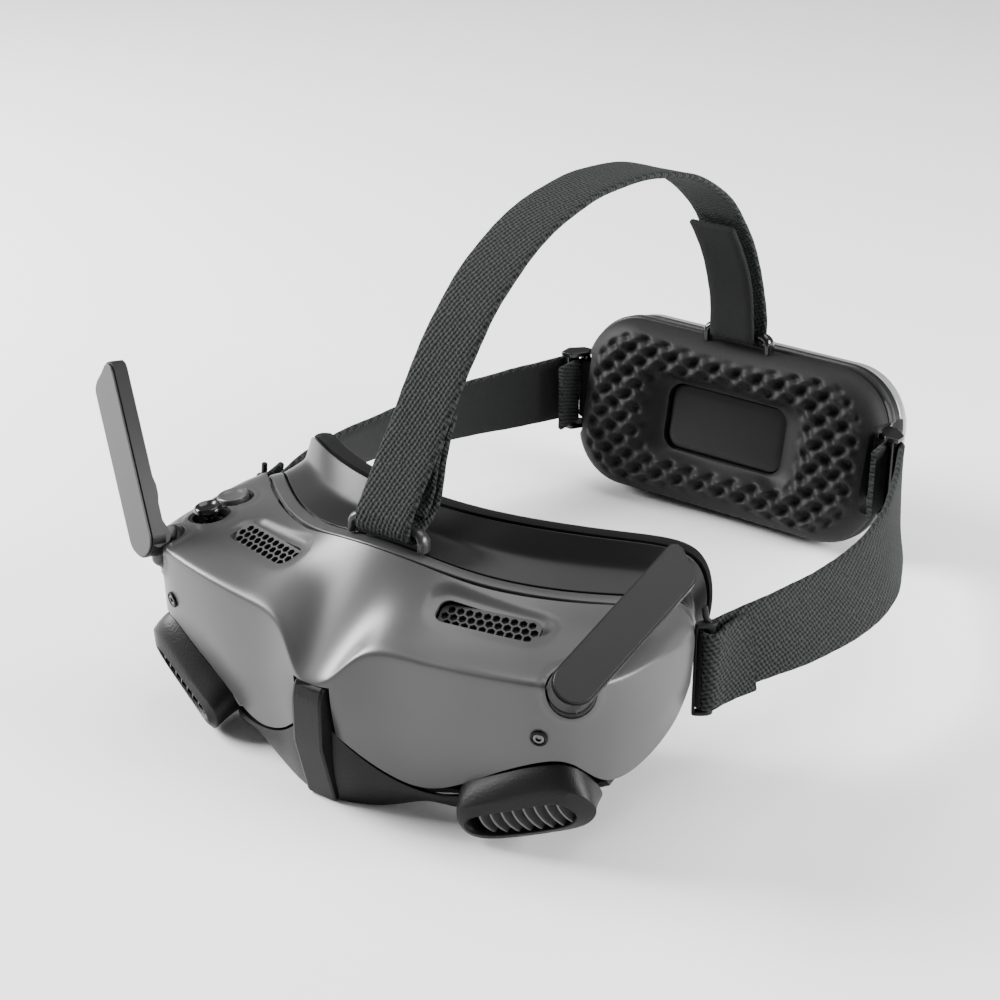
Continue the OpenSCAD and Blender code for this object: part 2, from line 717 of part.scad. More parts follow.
module antenna_plate_right() {
    color(trim_grey) placed() antenna_plate(fold_angle);
}

// ---------- controls ----------

module at_stick() {
    translate(stick_at) rotate(stick_turn) children();
}

module control_cup() {
    difference() {
        translate([0, 0, -8.4]) cylinder(r = control_r, h = 7.6, $fn = 48);
        translate([0, 0, -7.2]) cylinder(r = control_r - 1, h = 9, $fn = 48);
    }
}

module control_housing() {
    color(trim_grey) placed() {
        at_stick() difference() {
            control_cup();
            for (a = [0, 180]) rotate(a) translate([control_r - 2, 0, -4]) rotate([0, 90, 0])
                cylinder(r = 0.55, h = 1.6, $fn = 16);
        }
        translate(back_button_at) rotate(stick_turn) control_cup();
    }
}

// The ring tilts about X in the cup and the core tilts about Y in the ring
module joystick_ring() {
    color(black) placed() at_stick() translate([0, 0, -4]) difference() {
        union() {
            cylinder(r = 4.6, h = 1.8, center = true, $fn = 48);
            rotate([0, 90, 0]) cylinder(r = 0.5, h = 11.6, center = true, $fn = 16);
        }
        cylinder(r = 3.5, h = 4, center = true, $fn = 40);
        rotate([90, 0, 0]) cylinder(r = 0.55, h = 12, center = true, $fn = 16);
    }
}

module joystick_core() {
    color(black) placed() at_stick() translate([0, 0, -4]) difference() {
        union() {
            cylinder(r = 2.6, h = 2, center = true, $fn = 32);
            rotate([90, 0, 0]) cylinder(r = 0.5, h = 8.8, center = true, $fn = 16);
            cylinder(r = 2, h = 2.8, $fn = 32);
        }
        translate([0, 0, 1]) cylinder(r = 1.25, h = 6, $fn = 24);
    }
}

module joystick_cap() {
    color(black) placed() at_stick() {
        translate([0, 0, -2.2]) cylinder(r = 1.2, h = 2.6, $fn = 24);
        rotate_extrude($fn = 48) polygon([[0, -0.4], [2.9, -0.4], [4.2, 0.5], [4.6, 1.6], [4.2, 2.6], [3.4, 3], [0, 2.4]]);
    }
}

module back_button() {
    color(frame_grey) placed() translate(back_button_at) rotate(stick_turn) rotate_extrude($fn = 48)
        polygon([[0, -3.6], [button_r, -3.6], [button_r, 0.9], [button_r - 0.6, 1.3], [button_r - 2, 0.9], [0, 0.4]]);
}

// ---------- headband ----------

bar_r = 1.8;
bracket_y = 39.5;
bracket_z = 77;
bracket_half = top_strap_w / 2 + 4.4;
bracket_post = 2.6;
bracket_foot_z = 71.9;

module top_bracket() {
    color(black) placed() {
        translate([0, bracket_y, bracket_z]) rotate([0, 90, 0]) cylinder(r = bar_r, h = 2 * bracket_half, center = true, $fn = 32);
        for (s = [-1, 1]) translate([s * (bracket_half - bracket_post / 2), bracket_y, 0]) {
            translate([-bracket_post / 2, -2.6, bracket_foot_z]) cube([bracket_post, 5.2, bracket_z - bracket_foot_z]);
            translate([0, 0, bracket_z]) rotate([0, 90, 0]) cylinder(r = 2.6, h = bracket_post, center = true, $fn = 32);
        }
    }
}

wrap_r = bar_r + 0.25 + strap_t / 2;
across_x = [1, 0, 0];
top_route = [
    [38.6, 82.4], [44.8, 90.2], [51.4, 98.4], [58, 107.8], [67.5, 120.6], [81.2, 135.2], [103, 148.4], [128, 154.4],
    [158, 154.6], [188, 148.2], [210, 138], [226, 125], [238.6, 107.5], [246, 90], [249, 79]
];
// The strap leaves the bar's front; the loop at the pack is met from behind
pack_bar = [246.5, 71.6];
function wrap(c, a0, a1, n) = [for (i = [0:n]) let (a = a0 + (a1 - a0) * i / n) [c[0] + wrap_r * cos(a), c[1] + wrap_r * sin(a)]];
function in_x(p) = [[0, p[0], p[1]], across_x];
top_path = concat(
    wrap([bracket_y, bracket_z], 265, 170, 6),
    [for (p = open_curve(concat([[bracket_y - wrap_r + 0.6, bracket_z + 3]], top_route, [[pack_bar[0] + wrap_r - 0.1, pack_bar[1] + 2]]), 4)) p],
    wrap(pack_bar, -10, -84, 5)
);
tail_route = [[47.6, 77.9], [51.6, 80.6], [53.2, 86], [54, 92.4], [56.4, 99.6], [60.4, 107]];
tail_path = concat(wrap([bracket_y, bracket_z], 276, 310, 4), open_curve(concat([[bracket_y + 3.4, bracket_z - 1.4]], tail_route), 3));
tab_route = [[242.9, 77], [242.3, 84.6], [239.4, 94.5], [234.2, 105], [227.8, 114.6], [225.2, 117.8]];
tab_path = concat(wrap(pack_bar, 265, 180, 5), open_curve(concat([[pack_bar[0] - wrap_r - 0.2, pack_bar[1] + 2]], tab_route), 3));
tab_shift = 1; // the tab is narrower than the strap and keeps to its left edge

module top_strap() {
    color(strap_grey) placed() webbing([for (p = top_path) in_x(p)], top_strap_w, strap_t);
}

module top_strap_tail() {
    color(strap_grey) placed() webbing([for (p = tail_path) in_x(p)], top_strap_w, strap_t);
}

module top_strap_tab() {
    color(strap_grey) placed() translate([-tab_shift, 0, 0]) webbing([for (p = tab_path) in_x(p)], top_strap_w - 2 * tab_shift, strap_t);
}

anchor_at = [86.8, 80.5, 38];
anchor_r = 1.7;

module arm(a, b, r) {
    d = b - a;
    translate(a) rotate([0, acos(d[2] / norm(d)), atan2(d[1], d[0])]) cylinder(r = r, h = norm(d), $fn = 24);
}

// A vertical bar between two end plates, joined by a guard strip that closes the gap to the frame's side
module strap_anchor() {
    half = side_strap_w / 2 + 1.9;
    translate(anchor_at) {
        cylinder(r = anchor_r, h = 2 * half + 1.8, center = true, $fn = 32);
        translate([0, 0, -half - 0.9]) linear_extrude(2 * half + 1.8) guard_outline(0);
        for (s = [-1, 1]) translate([0, 0, s * half]) linear_extrude(1.8, center = true) guard_outline(anchor_r + 0.4);
    }
    arm(anchor_at + [0, 0, half], [84.6, 80, 52], 0.9);
}

// With no radius this is the strip alone; with one it reaches the bar
module guard_outline(bar) {
    hull() {
        for (angle = [247, 262]) rotate(angle) translate([4.75, 0]) circle(0.45, $fn = 16);
        if (bar > 0) circle(bar, $fn = 32);
    }
}

module strap_anchors() {
    color(trim_grey) placed() both() strap_anchor();
}

side_wrap = anchor_r + 0.25 + strap_t / 2;
// Route of the side strap: place and the lean of its top edge towards the head
side_route = [
    [[86.3, 88, 38.3], 4], [[90, 98.5, 38.6], 9], [[96, 117, 38.2], 18], [[99.2, 138, 37], 26], [[99.6, 158, 36], 28],
    [[97, 176, 35.2], 24], [[91.6, 194, 34.6], 16], [[84, 212, 34.4], 9], [[76.2, 229, 34.3], 3]
];
buckle_at = [68.6, 238.6, 34.4];
buckle_back = [-5.4, 6.6, 0]; // from the strap's bar to the bar held by the pack
function side_point(s) = [s[0], [-sin(s[1]), 0, cos(s[1])]];
function wrap_at(c, a0, a1, n) = [for (i = [0:n]) let (a = a0 + (a1 - a0) * i / n)
    [c + side_wrap * [cos(a), sin(a), 0], [0, 0, 1]]];
function curve_both(r, n) =
    let (p = open_curve([for (s = r) s[0]], n), l = open_curve([for (s = r) [s[1], 0]], n))
    [for (i = [0:len(p) - 1]) side_point([p[i], l[i][0]])];
side_path = concat(
    wrap_at(anchor_at, -96, -180, 5),
    curve_both(concat([[anchor_at + [-side_wrap - 0.1, 2, 0], 0]], side_route), 3),
    [for (w = wrap_at(buckle_at, 25, 180, 7)) w],
    [for (d = [3, 7, 10]) [buckle_at + [-side_wrap + 0.03 * d, -d, 0], [0, 0, 1]]]
);
module side_strap() {
    webbing(side_path, side_strap_w, strap_t);
}

// The folded end lies outside the main run
panel_route = [[[90.3, 85.6, 38.2], 3], [[91.3, 90.2, 38.5], 6], [[93, 95, 38.7], 9]];

module side_panel() {
    webbing(concat(
        wrap_at(anchor_at, -84, 0, 5),
        curve_both(concat([[anchor_at + [side_wrap + 0.2, 2, 0], 0]], panel_route), 3)
    ), side_strap_w, strap_t);
}

module side_strap_left() {
    color(strap_grey) placed() mirror([1, 0, 0]) side_strap();
}

module side_strap_right() {
    color(strap_grey) placed() side_strap();
}

module side_panel_left() {
    color(strap_grey) placed() mirror([1, 0, 0]) side_panel();
}

module side_panel_right() {
    color(strap_grey) placed() side_panel();
}

// ---------- battery pack ----------

pack_at = [0, 239, 35];
corner_r = 22;

module in_pack() {
    translate(pack_at) rotate([-pack_lean, 0, 0]) children();
}

// A rounded slab standing in the XZ plane of the pack
module pack_slab(y0, y1, half_w, half_h, r, rise = 0) {
    translate([0, y1, rise]) rotate([90, 0, 0]) linear_extrude(y1 - y0) {
        square([2 * half_w, 2 * (half_h - r)], center = true);
        square([2 * (half_w - r), 2 * half_h], center = true);
        for (sx = [-1, 1], sz = [-1, 1]) translate([sx * (half_w - r), sz * (half_h - r)]) circle(r, $fn = 64);
    }
}

module buckle_notch() {
    both() translate([pack_half_w + 3, 3, 0]) cube([16, 30, side_strap_w + 8], center = true);
}

module pack_frame() {
    color(trim_grey) placed() in_pack() difference() {
        union() {
            pack_slab(4, 9, pack_half_w, pack_half_h, corner_r, 0.2);
            pack_slab(9, 14, pack_half_w - 0.8, pack_half_h - 1, corner_r, 0.6);
        }
        pack_slab(6, 15, pack_half_w - 10, pack_half_h - 2.4, corner_r - 3, 0.6);
        buckle_notch();
    }
}

module pack_cover() {
    color([0.62, 0.62, 0.63]) placed() in_pack() difference() {
        union() {
            pack_slab(14.25, 19, pack_half_w - 0.6, pack_half_h - 1.4, corner_r, 0.9);
            pack_slab(19, 24.4, pack_half_w - 3, pack_half_h - 3.4, corner_r - 1, 1.6);
        }
        pack_slab(14, 22.8, pack_half_w - 10, pack_half_h - 5, corner_r - 6, 1.2);
        buckle_notch();
        translate([40, 20, pack_half_h - 14]) rotate([-90, 0, 0]) cylinder(r = 3.6, h = 9, $fn = 40);
        translate([40, 21, -pack_half_h + 14]) cube([10, 9, 3.6], center = true);
    }
}

cell_r = 9;

module battery_cells() {
    color([0.25, 0.35, 0.5]) placed() in_pack() for (s = [-1, 1])
        translate([-8, 15.2, s * (cell_r + 0.4)]) rotate([0, 90, 0]) cylinder(r = cell_r - 1.6, h = 66, center = true, $fn = 48);
}

module pack_board() {
    color([0.1, 0.3, 0.18]) placed() in_pack() translate([28, 8, -16]) cube([24, 1.4, 34]);
}

module head_pad() {
    color(black) placed() in_pack() difference() {
        pack_slab(-5.6, 3.75, pack_half_w - 2, pack_half_h - 1.6, corner_r - 1);
        pack_slab(-8, 5, 34, 17.5, 6);
        both() translate([pack_half_w + 3, 0, 0]) cube([16, 30, side_strap_w + 8], center = true);
    }
}

module pad_plate() {
    color(trim_grey) placed() in_pack() pack_slab(1.4, 3.8, 33.6, 17.1, 5.6);
}

module power_button() {
    color(frame_grey) placed() in_pack() translate([40, 22.95, pack_half_h - 14]) rotate([-90, 0, 0])
        cylinder(r = 3.3, h = 2, $fn = 40);
}

module power_socket() {
    color([0.6, 0.6, 0.6]) placed() in_pack() translate([40, 20.8, -pack_half_h + 14]) difference() {
        cube([9.4, 5.6, 3.1], center = true);
        translate([0, 2, 0]) cube([8.4, 5.6, 2.3], center = true);
    }
}

loop_half = top_strap_w / 2 + 4;

module pack_loop() {
    color(black) placed() {
        translate([0, pack_bar[0], pack_bar[1]]) rotate([0, 90, 0]) cylinder(r = bar_r, h = 2 * loop_half, center = true, $fn = 32);
        for (s = [-1, 1]) translate([s * (loop_half - 1), 0, 0]) {
            translate([0, pack_bar[0], pack_bar[1]]) rotate([0, 90, 0]) cylinder(r = 2.6, h = 2, center = true, $fn = 32);
            in_pack() translate([-1, -1.6, pack_half_h - 1.4]) cube([2, 5, 6]);
        }
        in_pack() translate([-loop_half, -1.6, pack_half_h - 1.5]) cube([2 * loop_half, 5.4, 1.4]);
    }
}

module buckle() {
    translate(buckle_at) {
        cylinder(r = anchor_r, h = side_strap_w + 3, center = true, $fn = 32);
        translate(buckle_back) cylinder(r = anchor_r, h = side_strap_w + 3, center = true, $fn = 32);
        for (s = [-1, 1]) translate([0, 0, s * (side_strap_w / 2 + 1.6)]) linear_extrude(1.8, center = true)
            polygon([[2.4, -2.4], [2.4, 2.6], [-3, 9], [-7.8, 9], [-7.8, 4.2], [-2.4, -2.4]]);
    }
}

module buckles() {
    color(black) placed() both() buckle();
}

front_shell();
lower_trim();
outlet_pods();
outlet_louvres();
intake_grille_left();
intake_grille_right();
shell_screws();
belly_cover();
rear_frame();
face_shroud();
face_foam();
lens_plate();
guide_rods();
main_board();
fan_housing();
fan_rotor();
knuckle_left();
knuckle_right();
hinge_pins();
antenna_body_left();
antenna_plate_left();
antenna_body_right();
antenna_plate_right();
control_housing();
joystick_ring();
joystick_core();
joystick_cap();
back_button();
carriage_left();
carriage_right();
display_left();
display_right();
lens_cell_left();
lens_cell_right();
lens_left();
lens_right();
eye_knob_left();
eye_knob_right();
card_socket();
top_bracket();
strap_anchors();
top_strap();
top_strap_tail();
top_strap_tab();
side_strap_left();
side_strap_right();
side_panel_left();
side_panel_right();
buckles();
pack_loop();
pack_frame();
pack_cover();
battery_cells();
pack_board();
head_pad();
pad_plate();
power_button();
power_socket();
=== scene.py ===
import math

import bmesh
import bpy
import numpy as np
from mathutils import Euler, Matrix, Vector


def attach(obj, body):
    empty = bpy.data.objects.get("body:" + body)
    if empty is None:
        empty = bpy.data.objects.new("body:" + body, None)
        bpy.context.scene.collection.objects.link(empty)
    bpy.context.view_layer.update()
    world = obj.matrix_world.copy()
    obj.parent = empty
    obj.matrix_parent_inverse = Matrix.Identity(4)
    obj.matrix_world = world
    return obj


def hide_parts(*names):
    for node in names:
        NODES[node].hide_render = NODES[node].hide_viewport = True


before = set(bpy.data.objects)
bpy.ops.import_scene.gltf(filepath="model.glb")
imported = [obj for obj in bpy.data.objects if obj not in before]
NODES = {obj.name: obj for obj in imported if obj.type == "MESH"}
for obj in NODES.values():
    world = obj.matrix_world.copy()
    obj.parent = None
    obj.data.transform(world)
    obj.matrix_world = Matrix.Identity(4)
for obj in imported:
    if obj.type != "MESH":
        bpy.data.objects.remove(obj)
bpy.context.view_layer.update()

# Geometry is worked out in millimetres in a design frame whose y = 0 is the foremost face;
# the row's origin is KEEL_Y behind it.
KEEL_Y = 7.0
MM = 0.001


def to_row(points):
    """Design millimetres to the row's metres."""
    return (np.asarray(points, float) - np.array([0.0, KEEL_Y, 0.0])) * MM


# ---------------------------------------------------------------- materials

GRAIN_DEPTH = 0.0003
MOTTLE_SCALE, BRUSH_SCALE = 60.0, 900.0


def node_material(name):
    mat = bpy.data.materials.new(name)
    mat.use_nodes = True
    tree = mat.node_tree
    shader = tree.nodes["Principled BSDF"]
    return mat, tree, shader


def put(tree, socket, value):
    """Gives an input a fixed value, or links an output to it."""
    if isinstance(value, bpy.types.NodeSocket):
        tree.links.new(value, socket)
    else:
        socket.default_value = value


def fill(tree, node, **values):
    """Sets a node's inputs by name, with an underscore for each space."""
    for key, value in values.items():
        put(tree, node.inputs[key.replace("_", " ")], value)
    return node


def add(tree, kind, **values):
    return fill(tree, tree.nodes.new(kind), **values)


def noise(tree, vector, scale, detail):
    return add(tree, "ShaderNodeTexNoise", Vector=vector, Scale=scale, Detail=detail).outputs["Fac"]


def ramp(tree, factor, *stops):
    """Colour ramp through two stops, each (position, colour)."""
    node = add(tree, "ShaderNodeValToRGB", Fac=factor)
    for element, (position, colour) in zip(node.color_ramp.elements, stops):
        element.position = position
        element.color = (*colour, 1)
    return node.outputs["Color"]


def spread(tree, factor, low, high, start=0.0, end=1.0):
    """Maps a factor that runs from start to end onto low to high."""
    node = add(
        tree, "ShaderNodeMapRange", Value=factor, From_Min=start, From_Max=end, To_Min=low, To_Max=high,
    )
    return node.outputs["Result"]


def plastic(name, colour, rough, grain=0.05, grain_size=2600.0, mottle=0.05, coat=0.0, spec=0.5):
    """Moulded plastic: fine spark-eroded grain in the relief, faint unevenness in colour and gloss."""
    mat, tree, shader = node_material(name)
    place = add(tree, "ShaderNodeTexCoord").outputs["Object"]
    fine = noise(tree, place, grain_size, 3.0)
    bump = add(tree, "ShaderNodeBump", Strength=grain, Distance=GRAIN_DEPTH, Height=fine)
    broad = noise(tree, place, MOTTLE_SCALE, 4.0)
    low = [c * (1 - mottle) for c in colour]
    high = [min(1.0, c * (1 + mottle)) for c in colour]
    fill(
        tree, shader, Normal=bump.outputs["Normal"], Coat_Weight=coat, Specular_IOR_Level=spec,
        Base_Color=ramp(tree, broad, (0.3, low), (0.7, high)),
        Roughness=spread(tree, broad, rough * 0.92, min(1.0, rough * 1.08)),
    )
    return mat


def metal(name, colour, rough):
    mat, tree, shader = node_material(name)
    place = add(tree, "ShaderNodeTexCoord").outputs["Object"]
    gloss = spread(tree, noise(tree, place, BRUSH_SCALE, 4.0), rough * 0.7, rough * 1.3)
    fill(tree, shader, Base_Color=(*colour, 1), Metallic=1.0, Roughness=gloss)
    return mat


def weave(name, light, dark, pitch_u=1.9, pitch_v=2.3, depth=0.0006):
    """Elastic webbing: slanting nubs of yarn in a diamond lattice; the colour darkens with the relief into
    the gaps between them, painted shade.
    """
    mat, tree, shader = node_material(name)
    uv_map = add(tree, "ShaderNodeUVMap")
    uv_map.uv_map = "UVMap"
    uv = uv_map.outputs["UV"]
    split = add(tree, "ShaderNodeSeparateXYZ", Vector=uv)

    def maths(op, *values):
        node = tree.nodes.new("ShaderNodeMath")
        node.operation = op
        for socket, value in zip(node.inputs, values):
            put(tree, socket, value)
        return node.outputs[0]

    def uneven(factor, amount):
        return maths("MULTIPLY", maths("SUBTRACT", factor, 0.5), amount)

    shift = uneven(noise(tree, uv, 0.35, 3.0), 1.6)
    u = maths("MULTIPLY", maths("ADD", split.outputs["X"], shift), 2 * math.pi / pitch_u)
    v = maths("MULTIPLY", maths("ADD", split.outputs["Y"], shift), 2 * math.pi / pitch_v)
    first = maths("SINE", maths("ADD", u, maths("MULTIPLY", v, 0.5)))
    second = maths("SINE", maths("SUBTRACT", maths("MULTIPLY", u, 0.28), v))
    lattice = maths("MULTIPLY", first, second)
    yarn = maths("ADD", lattice, uneven(noise(tree, uv, 2.2, 4.0), 1.1))
    height = spread(tree, yarn, 0.0, 1.0, -0.9, 0.9)
    bump = add(tree, "ShaderNodeBump", Strength=0.9, Distance=depth, Height=height)
    # The colour follows the relief: the raised nubs keep the yarn's own colour, and the low gaps between them
    # darken to near black as painted shade.
    fill(
        tree, shader, Normal=bump.outputs["Normal"], Roughness=0.85, Specular_IOR_Level=0.2,
        Base_Color=ramp(tree, height, (0.0, dark), (0.78, light)),
    )
    return mat


def glass(name):
    mat, tree, shader = node_material(name)
    fill(
        tree, shader, Base_Color=(0.85, 0.88, 0.95, 1), Transmission_Weight=1.0, Roughness=0.02, IOR=1.5,
        Coat_Weight=0.6, Coat_Tint=(0.6, 0.7, 1.0, 1),
    )
    return mat


MAT = {
    "shell": plastic("shell_plastic", (0.050, 0.050, 0.0505), 0.32, 0.06, 3200, 0.03, spec=0.42),
    "trim": plastic("trim_plastic", (0.0072, 0.0072, 0.0074), 0.40, 0.35, 1500, 0.08, spec=0.17),
    "band": plastic("band_plastic", (0.042, 0.042, 0.0424), 0.36, 0.08, 2600, 0.04, spec=0.40),
    "shroud": plastic("shroud_moulding", (0.0078, 0.0078, 0.0080), 0.32, 0.05, 2600, 0.05, spec=0.22),
    "foam": plastic("face_foam", (0.0052, 0.0052, 0.0054), 0.85, 0.9, 1900, 0.18, spec=0.09),
    "pad": plastic("pad_foam", (0.0085, 0.0085, 0.0087), 0.58, 0.5, 2300, 0.12, spec=0.17),
    "steel": metal("screw_steel", (0.55, 0.55, 0.55), 0.28),
    "cover": plastic("pack_cover_plastic", (0.20, 0.20, 0.203), 0.24, 0.03, 3000, 0.02, coat=0.2, spec=0.5),
    "dark": plastic("dark_plastic", (0.0042, 0.0042, 0.0044), 0.42, 0.15, 1900, 0.06, spec=0.16),
    "gloss": plastic("gloss_black", (0.0045, 0.0045, 0.0046), 0.2, 0.02, 2200, 0.05, coat=0.08, spec=0.45),
    "plate": plastic("antenna_plate_plastic", (0.052, 0.052, 0.053), 0.36, 0.08, 2600, 0.04, spec=0.36),
    # A darker copy of the antenna plate's colour for the right antenna only, painted shade.
    "plate_painted_shade": plastic("antenna_plate_painted_shade", (0.0082, 0.0082, 0.0084), 0.34, 0.06, 2600, 0.04, spec=0.25),
    # The second colour of each webbing is the painted shade in the gaps between the yarn nubs.
    "web": weave("webbing", (0.027, 0.030, 0.029), (0.0005, 0.0006, 0.0006)),
    "web_smooth": weave(
        "webbing_inner", (0.0105, 0.0112, 0.0110), (0.0050, 0.0053, 0.0053), 0.9, 1.1, 0.0001,
    ),
    # Colour of the right side's louvres only; the left side's get the dark trim colour, so the right ones
    # carry painted light.
    "rib": plastic("louvre_painted_light", (0.080, 0.080, 0.0815), 0.34, 0.05, 2600, 0.04, spec=0.5),
    "paddle": plastic("antenna_body_plastic", (0.012, 0.012, 0.0123), 0.38, 0.12, 2200, 0.05, spec=0.24),
    "button": plastic("button_plastic", (0.050, 0.050, 0.051), 0.28, 0.04, 2600, 0.04, spec=0.5),
    "mesh": plastic("grille_mesh_plastic", (0.040, 0.040, 0.0405), 0.5, 0.04, 2600, 0.04, spec=0.30),
    "screw": metal("screw_black_steel", (0.10, 0.10, 0.10), 0.30),
    "smooth": plastic("bracket_plastic", (0.022, 0.022, 0.0224), 0.28, 0.04, 2600, 0.04, spec=0.45),
    "board": plastic("board_lacquer", (0.02, 0.075, 0.04), 0.4, 0.2, 700, 0.3),
    "glass": glass("lens_glass"),
    "screen": plastic("screen_glass", (0.006, 0.006, 0.008), 0.08, 0.0, 900, 0.02, coat=0.5),
    "cell": plastic("cell_wrap", (0.05, 0.09, 0.17), 0.3, 0.1, 500, 0.06),
}


# ---------------------------------------------------------------- splines

def basis(t):
    """Weights of the four control points of a uniform cubic B-spline."""
    return np.array([
        (1 - t) ** 3, 3 * t ** 3 - 6 * t * t + 4, -3 * t ** 3 + 3 * t * t + 3 * t + 1, t ** 3,
    ]) / 6


def open_curve(points, n):
    """Spline along the points that starts and ends on the first and last, n steps to a span."""
    p = np.asarray(points, float)
    q = np.concatenate([[2 * p[0] - p[1]], p, [2 * p[-1] - p[-2]]])
    out = [basis(k / n) @ q[i:i + 4] for i in range(len(p) - 1) for k in range(n)]
    return np.array(out + [p[-1]])


def closed_curve(points, n):
    """Spline round the points and back to its start, n steps to a span."""
    p = np.asarray(points, float)
    m = len(p)
    return np.array([
        basis(k / n) @ p[[(i - 1) % m, i, (i + 1) % m, (i + 2) % m]] for i in range(m) for k in range(n)
    ])


def net_grid(net, nu, nv, closed=False):
    """Surface points over a control net, with nu and nv steps to a span."""
    net = np.asarray(net, float)
    rails = np.array([(closed_curve if closed else open_curve)(net[:, j], nu) for j in range(net.shape[1])])
    return np.array([open_curve(rails[:, i], nv) for i in range(rails.shape[1])])


def mirrored(points):
    return np.asarray(points, float) * np.array([-1.0, 1.0, 1.0])


def arr(*v):
    return np.array(v, float)


def unit(v):
    return v / np.linalg.norm(v)


def smooth(a, b, x):
    t = np.clip((x - a) / (b - a), 0, 1)
    return t * t * (3 - 2 * t)


def both_sides(half):
    """Stations from the mirrored side, through the first one on the middle, to the given side."""
    half = [np.asarray(s, float) for s in half]
    return [mirrored(s) for s in half[:0:-1]] + half


def whole_ring(half):
    """Stations all the way round, from a half whose first and last are on the middle."""
    half = [np.asarray(s, float) for s in half]
    return half + [mirrored(s) for s in half[-2:0:-1]]


def grid_normals(g, closed):
    if closed:
        du = np.roll(g, -1, 0) - np.roll(g, 1, 0)
    else:
        du = np.gradient(g, axis=0)
    dv = np.gradient(g, axis=1)
    n = np.cross(du, dv)
    return n / np.linalg.norm(n, axis=2, keepdims=True)


# ---------------------------------------------------------------- mesh building

SIDES = (("right", False), ("left", True))


def linked(name, data):
    """A new object of that data, in the scene."""
    obj = bpy.data.objects.new(name, data)
    bpy.context.scene.collection.objects.link(obj)
    return obj


def outward(obj):
    """Turns a closed mesh's faces outward."""
    bm = bmesh.new()
    bm.from_mesh(obj.data)
    bmesh.ops.recalc_face_normals(bm, faces=bm.faces[:])
    bm.to_mesh(obj.data)
    bm.free()
    return obj


def make(name, verts, faces, material, uv=None, sharp=40):
    """A mesh object from design millimetres; edges sharper than that angle are not smoothed."""
    data = bpy.data.meshes.new(name)
    data.from_pydata([tuple(v) for v in to_row(verts)], [], [tuple(int(i) for i in f) for f in faces])
    data.update()
    obj = linked(name, data)
    data.materials.append(MAT[material])
    if uv is not None:
        layer = data.uv_layers.new(name="UVMap")
        index = np.zeros(len(data.loops), int)
        data.loops.foreach_get("vertex_index", index)
        layer.data.foreach_set("uv", np.asarray(uv, float)[index].ravel())
    data.shade_smooth()
    data.set_sharp_from_angle(angle=math.radians(sharp))
    obj["look"] = material
    return obj


def settle(obj, *replaced, body="headset"):
    """Fixes a finished piece to its body; it stands for the CAD nodes named."""
    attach(obj, body)
    if replaced:
        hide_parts(*replaced)
    return obj


def replaced_once(side, node):
    """A node that holds both sides is named by the right side's piece alone."""
    return (node,) if side == "right" else ()


def apply_all(obj):
    """Turns an object's modifiers into plain mesh."""
    bpy.context.view_layer.update()
    graph = bpy.context.evaluated_depsgraph_get()
    data = bpy.data.meshes.new_from_object(obj.evaluated_get(graph))
    old = obj.data
    obj.modifiers.clear()
    obj.data = data
    bpy.data.meshes.remove(old)
    return obj


def wall_faces(nu1, nv1, closed):
    """Quads of a wall with an outer and an inner skin of nu1 by nv1 points each."""
    m = nu1 * nv1
    cols = nu1 if closed else nu1 - 1
    i, j = np.meshgrid(np.arange(cols), np.arange(nv1 - 1), indexing="ij")
    a = (i * nv1 + j).ravel()
    b = (((i + 1) % nu1) * nv1 + j).ravel()
    outer = np.stack([a, b, b + 1, a + 1], 1)
    inner = np.stack([a, a + 1, b + 1, b], 1) + m
    i = np.arange(cols)
    a, b = i * nv1, ((i + 1) % nu1) * nv1
    rim0 = np.stack([a, a + m, b + m, b], 1)
    a, b = a + nv1 - 1, b + nv1 - 1
    rim1 = np.stack([a, b, b + m, a + m], 1)
    parts = [outer, inner, rim0, rim1]
    if not closed:
        j = np.arange(nv1 - 1)
        parts.append(np.stack([j, j + 1, j + 1 + m, j + m], 1))
        e = (nu1 - 1) * nv1 + j
        parts.append(np.stack([e, e + m, e + 1 + m, e + 1], 1))
    return np.concatenate(parts)


def wall(name, net, nu, nv, thick, material, closed=False, shape=None, flip=False):
    """A wall of even thickness behind a net's surface; shape moulds detail into the outer skin."""
    g = net_grid(net, nu, nv, closed)
    n = grid_normals(g, closed)
    outer = g if shape is None else shape(g, -n)
    inner = g + thick * n
    verts = np.concatenate([outer.reshape(-1, 3), inner.reshape(-1, 3)])
    faces = wall_faces(g.shape[0], g.shape[1], closed)
    if flip:
        verts = mirrored(verts)
        faces = faces[:, ::-1]
    return make(name, verts, faces, material)


def lofted(name, loops, material, sharp=40):
    """Closed solid through loops of equally many points, with a fan of faces over each end."""
    loops = [np.asarray(l, float) for l in loops]
    n = len(loops[0])
    verts = list(np.concatenate(loops)) + [loops[0].mean(0), loops[-1].mean(0)]
    low, high = len(verts) - 2, len(verts) - 1
    base = (len(loops) - 1) * n
    faces = []
    for i in range(len(loops) - 1):
        for j in range(n):
            a, b = i * n + j, i * n + (j + 1) % n
            faces.append((a, b, b + n, a + n))
    faces += [(low, (j + 1) % n, j) for j in range(n)]
    faces += [(high, base + j, base + (j + 1) % n) for j in range(n)]
    return outward(make(name, verts, faces, material, sharp=sharp))


def bevel(obj, width, segments=3, angle=38):
    mod = obj.modifiers.new("edges", "BEVEL")
    mod.width = width * MM
    mod.segments = segments
    mod.limit_method = "ANGLE"
    mod.angle_limit = math.radians(angle)
    mod.harden_normals = True
    apply_all(obj)
    return obj


def turn(rx, ry, rz):
    return np.array(Euler((math.radians(rx), math.radians(ry), math.radians(rz)), "XYZ").to_matrix())


def circle(radius, sides):
    a = np.linspace(0, 2 * math.pi, sides, endpoint=False)
    return np.stack([radius * np.cos(a), radius * np.sin(a)], 1)


def levels(ring, heights, axis=2):
    """A flat outline repeated at heights along an axis: 0, 1 or 2 for X, Y or Z."""
    return [np.insert(np.asarray(ring, float), axis, h, axis=1) for h in heights]


def cutter(loops):
    """A closed solid used only to cut another."""
    return lofted("cutter", loops, "dark")


